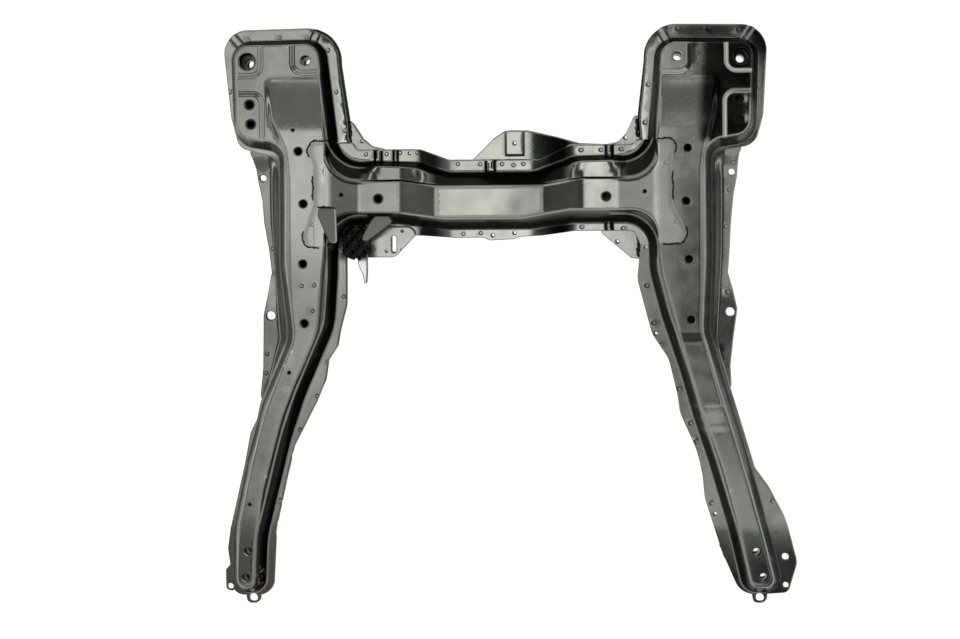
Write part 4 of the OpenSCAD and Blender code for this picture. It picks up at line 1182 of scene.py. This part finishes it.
class Nodes:
    """Small helper that adds nodes to a material or a world and joins them."""

    def __init__(self, owner, shader):
        owner.use_nodes = True
        self.tree = owner.node_tree
        self.shader = self.tree.nodes[shader]
        self.place = self.add("ShaderNodeTexCoord").outputs

    def add(self, kind, **values):
        return set_values(self.tree.nodes.new(kind), values)

    def stored(self, key):
        return self.add("ShaderNodeAttribute", attribute_name=key).outputs["Fac"]

    def link(self, a, b):
        self.tree.links.new(a, b)

    def noise(self, scale, detail=4.0, rough=0.55):
        n = self.add("ShaderNodeTexNoise")
        set_inputs(n, {"Scale": scale, "Detail": detail, "Roughness": rough})
        self.link(self.place["Object"], n.inputs["Vector"])
        return n.outputs["Fac"]

    def spread(self, value, a, b, lo=0.0, hi=1.0):
        n = self.add("ShaderNodeMapRange", interpolation_type="SMOOTHSTEP")
        set_inputs(n, {"From Min": a, "From Max": b, "To Min": lo, "To Max": hi})
        self.link(value, n.inputs["Value"])
        return n.outputs["Result"]

    def maths(self, how, a, b):
        n = self.add("ShaderNodeMath", operation=how)
        for k, v in ((0, a), (1, b)):
            if isinstance(v, (int, float)):
                n.inputs[k].default_value = v
            else:
                self.link(v, n.inputs[k])
        return n.outputs["Value"]

    def mix(self, factor, a, b):
        n = self.add("ShaderNodeMix", data_type="RGBA")
        for k, v in ((0, factor), (6, a), (7, b)):
            if isinstance(v, tuple):
                n.inputs[k].default_value = (*v, 1)
            else:
                self.link(v, n.inputs[k])
        return n.outputs[2]

    def bump(self, height, strength, reach):
        n = self.add("ShaderNodeBump")
        set_inputs(n, {"Strength": strength, "Distance": reach})
        self.link(height, n.inputs["Height"])
        self.link(n.outputs["Normal"], self.shader.inputs["Normal"])


# Colours of the painted highlights and the few paint chips: PALE, and GLEAM for their brightest cores.
PALE = (0.66, 0.67, 0.63)
GLEAM = (0.95, 0.96, 0.93)
RUST_BROWN = (0.15, 0.085, 0.045)


def paint_material(name, coat, worn, dust, wall):
    """Gloss black paint that mirrors the light, dulled by dust, with painted shade down the pressed walls
    and elsewhere, painted highlights along edges and crests, a few paint chips, rust, and rubbed sharp
    edges."""
    mat = bpy.data.materials.new(name)
    m = Nodes(mat, "Principled BSDF")
    cloud = m.spread(m.noise(7, 5), 0.35, 0.7)
    speck = m.spread(m.noise(420, 3), 0.62, 0.72)
    colour_and_painted_light = m.mix(cloud, coat, dust)
    colour_and_painted_light = m.mix(m.maths("MULTIPLY", speck, 0.12), colour_and_painted_light, worn)
    # Painted shade from the shade attribute, then painted highlights and chips from the pale attribute.
    colour_and_painted_light = m.mix(m.stored("shade"), colour_and_painted_light, wall)
    pale = m.stored("pale")
    colour_and_painted_light = m.mix(pale, colour_and_painted_light, PALE)
    colour_and_painted_light = m.mix(m.spread(pale, 0.75, 1.0), colour_and_painted_light, GLEAM)
    rust = m.stored("rust")
    rust = m.maths("MULTIPLY", rust, m.spread(m.noise(120, 5), 0.54, 0.62))
    colour_and_painted_light = m.mix(rust, colour_and_painted_light, RUST_BROWN)
    point = m.add("ShaderNodeNewGeometry").outputs["Pointiness"]
    edge = m.maths("MULTIPLY", m.spread(point, 0.53, 0.6), m.spread(m.noise(60, 4), 0.42, 0.62))
    colour_and_painted_light = m.mix(m.maths("MULTIPLY", edge, 0.5), colour_and_painted_light, worn)
    m.link(colour_and_painted_light, m.shader.inputs["Base Color"])
    rough = m.spread(m.noise(26, 5), 0.3, 0.75, 0.14, 0.25)
    rough = m.maths("ADD", rough, m.maths("MULTIPLY", speck, 0.10))
    dull = m.spread(m.maths("MAXIMUM", pale, rust), 0.0, 0.45)
    m.link(m.maths("ADD", rough, m.maths("MULTIPLY", dull, 0.3)), m.shader.inputs["Roughness"])
    m.link(m.maths("SUBTRACT", 0.9, m.maths("MULTIPLY", dull, 0.9)), m.shader.inputs["Metallic"])
    m.shader.inputs["Specular Tint"].default_value = (0.25, 0.25, 0.25, 1)
    peel = m.maths("ADD", m.noise(240, 2), m.maths("MULTIPLY", m.noise(18, 2), 2.0))
    m.bump(peel, 0.05, 0.0005)
    return mat


# Colours of each paint: coat, worn coat, dust, and the near-black painted shade that the shade attribute
# mixes in down the walls and elsewhere.
PAINTS = {
    "black_paint": ((0.24, 0.25, 0.225), (0.42, 0.43, 0.40), (0.29, 0.30, 0.27), (0.008, 0.009, 0.006)),
    "plate_paint": ((0.068, 0.07, 0.062), (0.22, 0.22, 0.205), (0.09, 0.093, 0.082), (0.008, 0.009, 0.006)),
    "tongue_paint": ((0.42, 0.43, 0.41), (0.55, 0.55, 0.53), (0.5, 0.5, 0.48), (0.05, 0.05, 0.045)),
    "seam_paint": ((0.02, 0.02, 0.018), (0.14, 0.14, 0.13), (0.04, 0.04, 0.036), (0.015, 0.015, 0.014)),
    "sleeve_steel": ((0.05, 0.05, 0.046), (0.16, 0.16, 0.15), (0.08, 0.08, 0.073), (0.02, 0.02, 0.018)),
    "nut_steel": ((0.014, 0.014, 0.013), (0.05, 0.05, 0.047), (0.02, 0.02, 0.018), (0.01, 0.01, 0.009))}
paints = {name: paint_material(name, *colours) for name, colours in PAINTS.items()}


def dress(obj, paint_name):
    obj.data.materials.clear()
    obj.data.materials.append(paints[paint_name])


for o in pieces.values():
    dress(o, "black_paint")
for o in seams:
    dress(o, "seam_paint")
for plate_name in ("cover_tab", "corner_plate"):
    dress(pieces[plate_name], "plate_paint")
# The hanger channel takes the near-black seam paint as painted shade.
dress(hanger, "seam_paint")
dress(tongue, "tongue_paint")
NODE_PAINTS = (("sleeve", "sleeve_steel"), ("nut", "nut_steel"))
WELD_GAP, BEVEL_W = 0.02 * MM, 0.5 * MM
FLAT_ANGLE, BEVEL_ANGLE = math.radians(3), math.radians(40)


def add_modifier(obj, kind, **values):
    set_values(obj.modifiers.new(kind.lower(), kind), values)


for node_name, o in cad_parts.items():
    dress(o, next((paint for word, paint in NODE_PAINTS if word in node_name), "black_paint"))
    if node_name not in pieces and node_name != "hanger_bracket":
        add_modifier(o, "WELD", merge_threshold=WELD_GAP)
        add_modifier(o, "DECIMATE", decimate_type="DISSOLVE", angle_limit=FLAT_ANGLE)
        add_modifier(o, "BEVEL", width=BEVEL_W, segments=2, limit_method="ANGLE", angle_limit=BEVEL_ANGLE)

# Floor.
FLOOR_GLOW = 0.90
FLOOR_HALF = 6
FLOOR_CORNERS = [(x * FLOOR_HALF, y * FLOOR_HALF, 0) for x, y in ((-1, -1), (1, -1), (1, 1), (-1, 1))]
floor_mesh = bpy.data.meshes.new("floor")
floor_mesh.from_pydata(FLOOR_CORNERS, [], [(0, 1, 2, 3)])
floor = add_to_scene("floor", floor_mesh)
floor_mesh.materials.append(bpy.data.materials.new("floor"))
ground = Nodes(floor_mesh.materials[0], "Principled BSDF")
set_inputs(ground.shader, {"Base Color": (0.42, 0.42, 0.42, 1), "Roughness": 0.9,
                           "Emission Color": (1, 1, 1, 1)})
rays = ground.add("ShaderNodeLightPath").outputs
seen = ground.maths("MAXIMUM", rays["Is Camera Ray"],
                    ground.maths("MAXIMUM", rays["Is Glossy Ray"], rays["Is Transmission Ray"]))
ground.link(ground.maths("MULTIPLY", seen, FLOOR_GLOW), ground.shader.inputs["Emission Strength"])


def softbox(name, place, aim, size, size_y, radiance):
    """A flat lamp that faces a point; radiance is what a mirror would show of it."""
    energy = radiance * math.pi * size * size_y
    values = {"shape": "RECTANGLE", "size": size, "size_y": size_y, "energy": energy}
    lamp = add_to_scene(name, set_values(bpy.data.lights.new(name, "AREA"), values))
    lamp.location = place
    lamp.rotation_euler = (Vector(aim) - Vector(place)).to_track_quat("-Z", "Y").to_euler()


# Lamps that face straight down, as (name, x, y, size along x, size along y, radiance).
LAMP_Z = 3.0
for lamp_name, x, y, size, size_y, radiance in (
        ("overhead", -0.02, 0.24, 0.64, 1.5, 2.7), ("left_box", -0.69, 0.20, 0.70, 1.7, 1.8),
        ("left_panel", -1.5, 0.1, 0.9, 3.0, 0.5), ("front_left_panel", -0.5, -1.25, 1.5, 1.2, 0.55),
        ("front_right_panel", 0.85, -0.9, 1.1, 1.1, 1.0), ("rear_left_panel", -0.73, 1.45, 0.8, 0.5, 0.35),
        ("rear_right_panel", 0.38, 1.29, 0.4, 0.25, 1.4)):
    softbox(lamp_name, (x, y, LAMP_Z), (x, y, 0.0), size, size_y, radiance)
# Strips around the part, as (name, x, y, radiance).
STRIP_Z = 1.25
STRIP_SIZE = 4.6, 0.6
for lamp_name, x, y, radiance in (("left_strip", -2.7, 0.0, 2.4), ("right_strip", 2.7, 0.0, 2.4),
                                  ("rear_strip", 0.0, 2.7, 2.4), ("front_strip", 0.0, -2.7, 1.8)):
    softbox(lamp_name, (x, y, STRIP_Z), (0, 0, 0), *STRIP_SIZE, radiance)

# Pale walls all round under a dark ceiling.
SKY = (1, 1.01, 0.92, 1)
WALL_GLOW, CEILING_GLOW = 0.26, 0.02
world = bpy.data.worlds.new("studio")
bpy.context.scene.world = world
sky = Nodes(world, "Background")
set_inputs(sky.shader, {"Color": SKY})
split = sky.add("ShaderNodeSeparateXYZ")
sky.link(sky.place["Generated"], split.inputs["Vector"])
sky.link(sky.spread(split.outputs["Z"], 0.6, 0.9, WALL_GLOW, CEILING_GLOW), sky.shader.inputs["Strength"])

# Camera nearly straight above; FRAME_W is the width that the picture takes in.
YAW = math.radians(3.0)
ROLL = math.radians(-0.33)
DISTANCE = 4.4
FRAME_W = 1.680
SENSOR_MM = 36.0
AIM = Vector((-0.048, -0.009, 0.024))
cam_data = bpy.data.cameras.new("camera")
cam_data.sensor_width = SENSOR_MM
cam_data.lens = SENSOR_MM * DISTANCE / FRAME_W
cam = add_to_scene("camera", cam_data)
cam.location = AIM + DISTANCE * Vector((math.sin(YAW), 0, math.cos(YAW)))
cam.rotation_euler = (0, YAW, ROLL)
cam.rotation_mode = "XYZ"
bpy.context.scene.camera = cam
bpy.context.scene.view_settings.view_transform = "Standard"
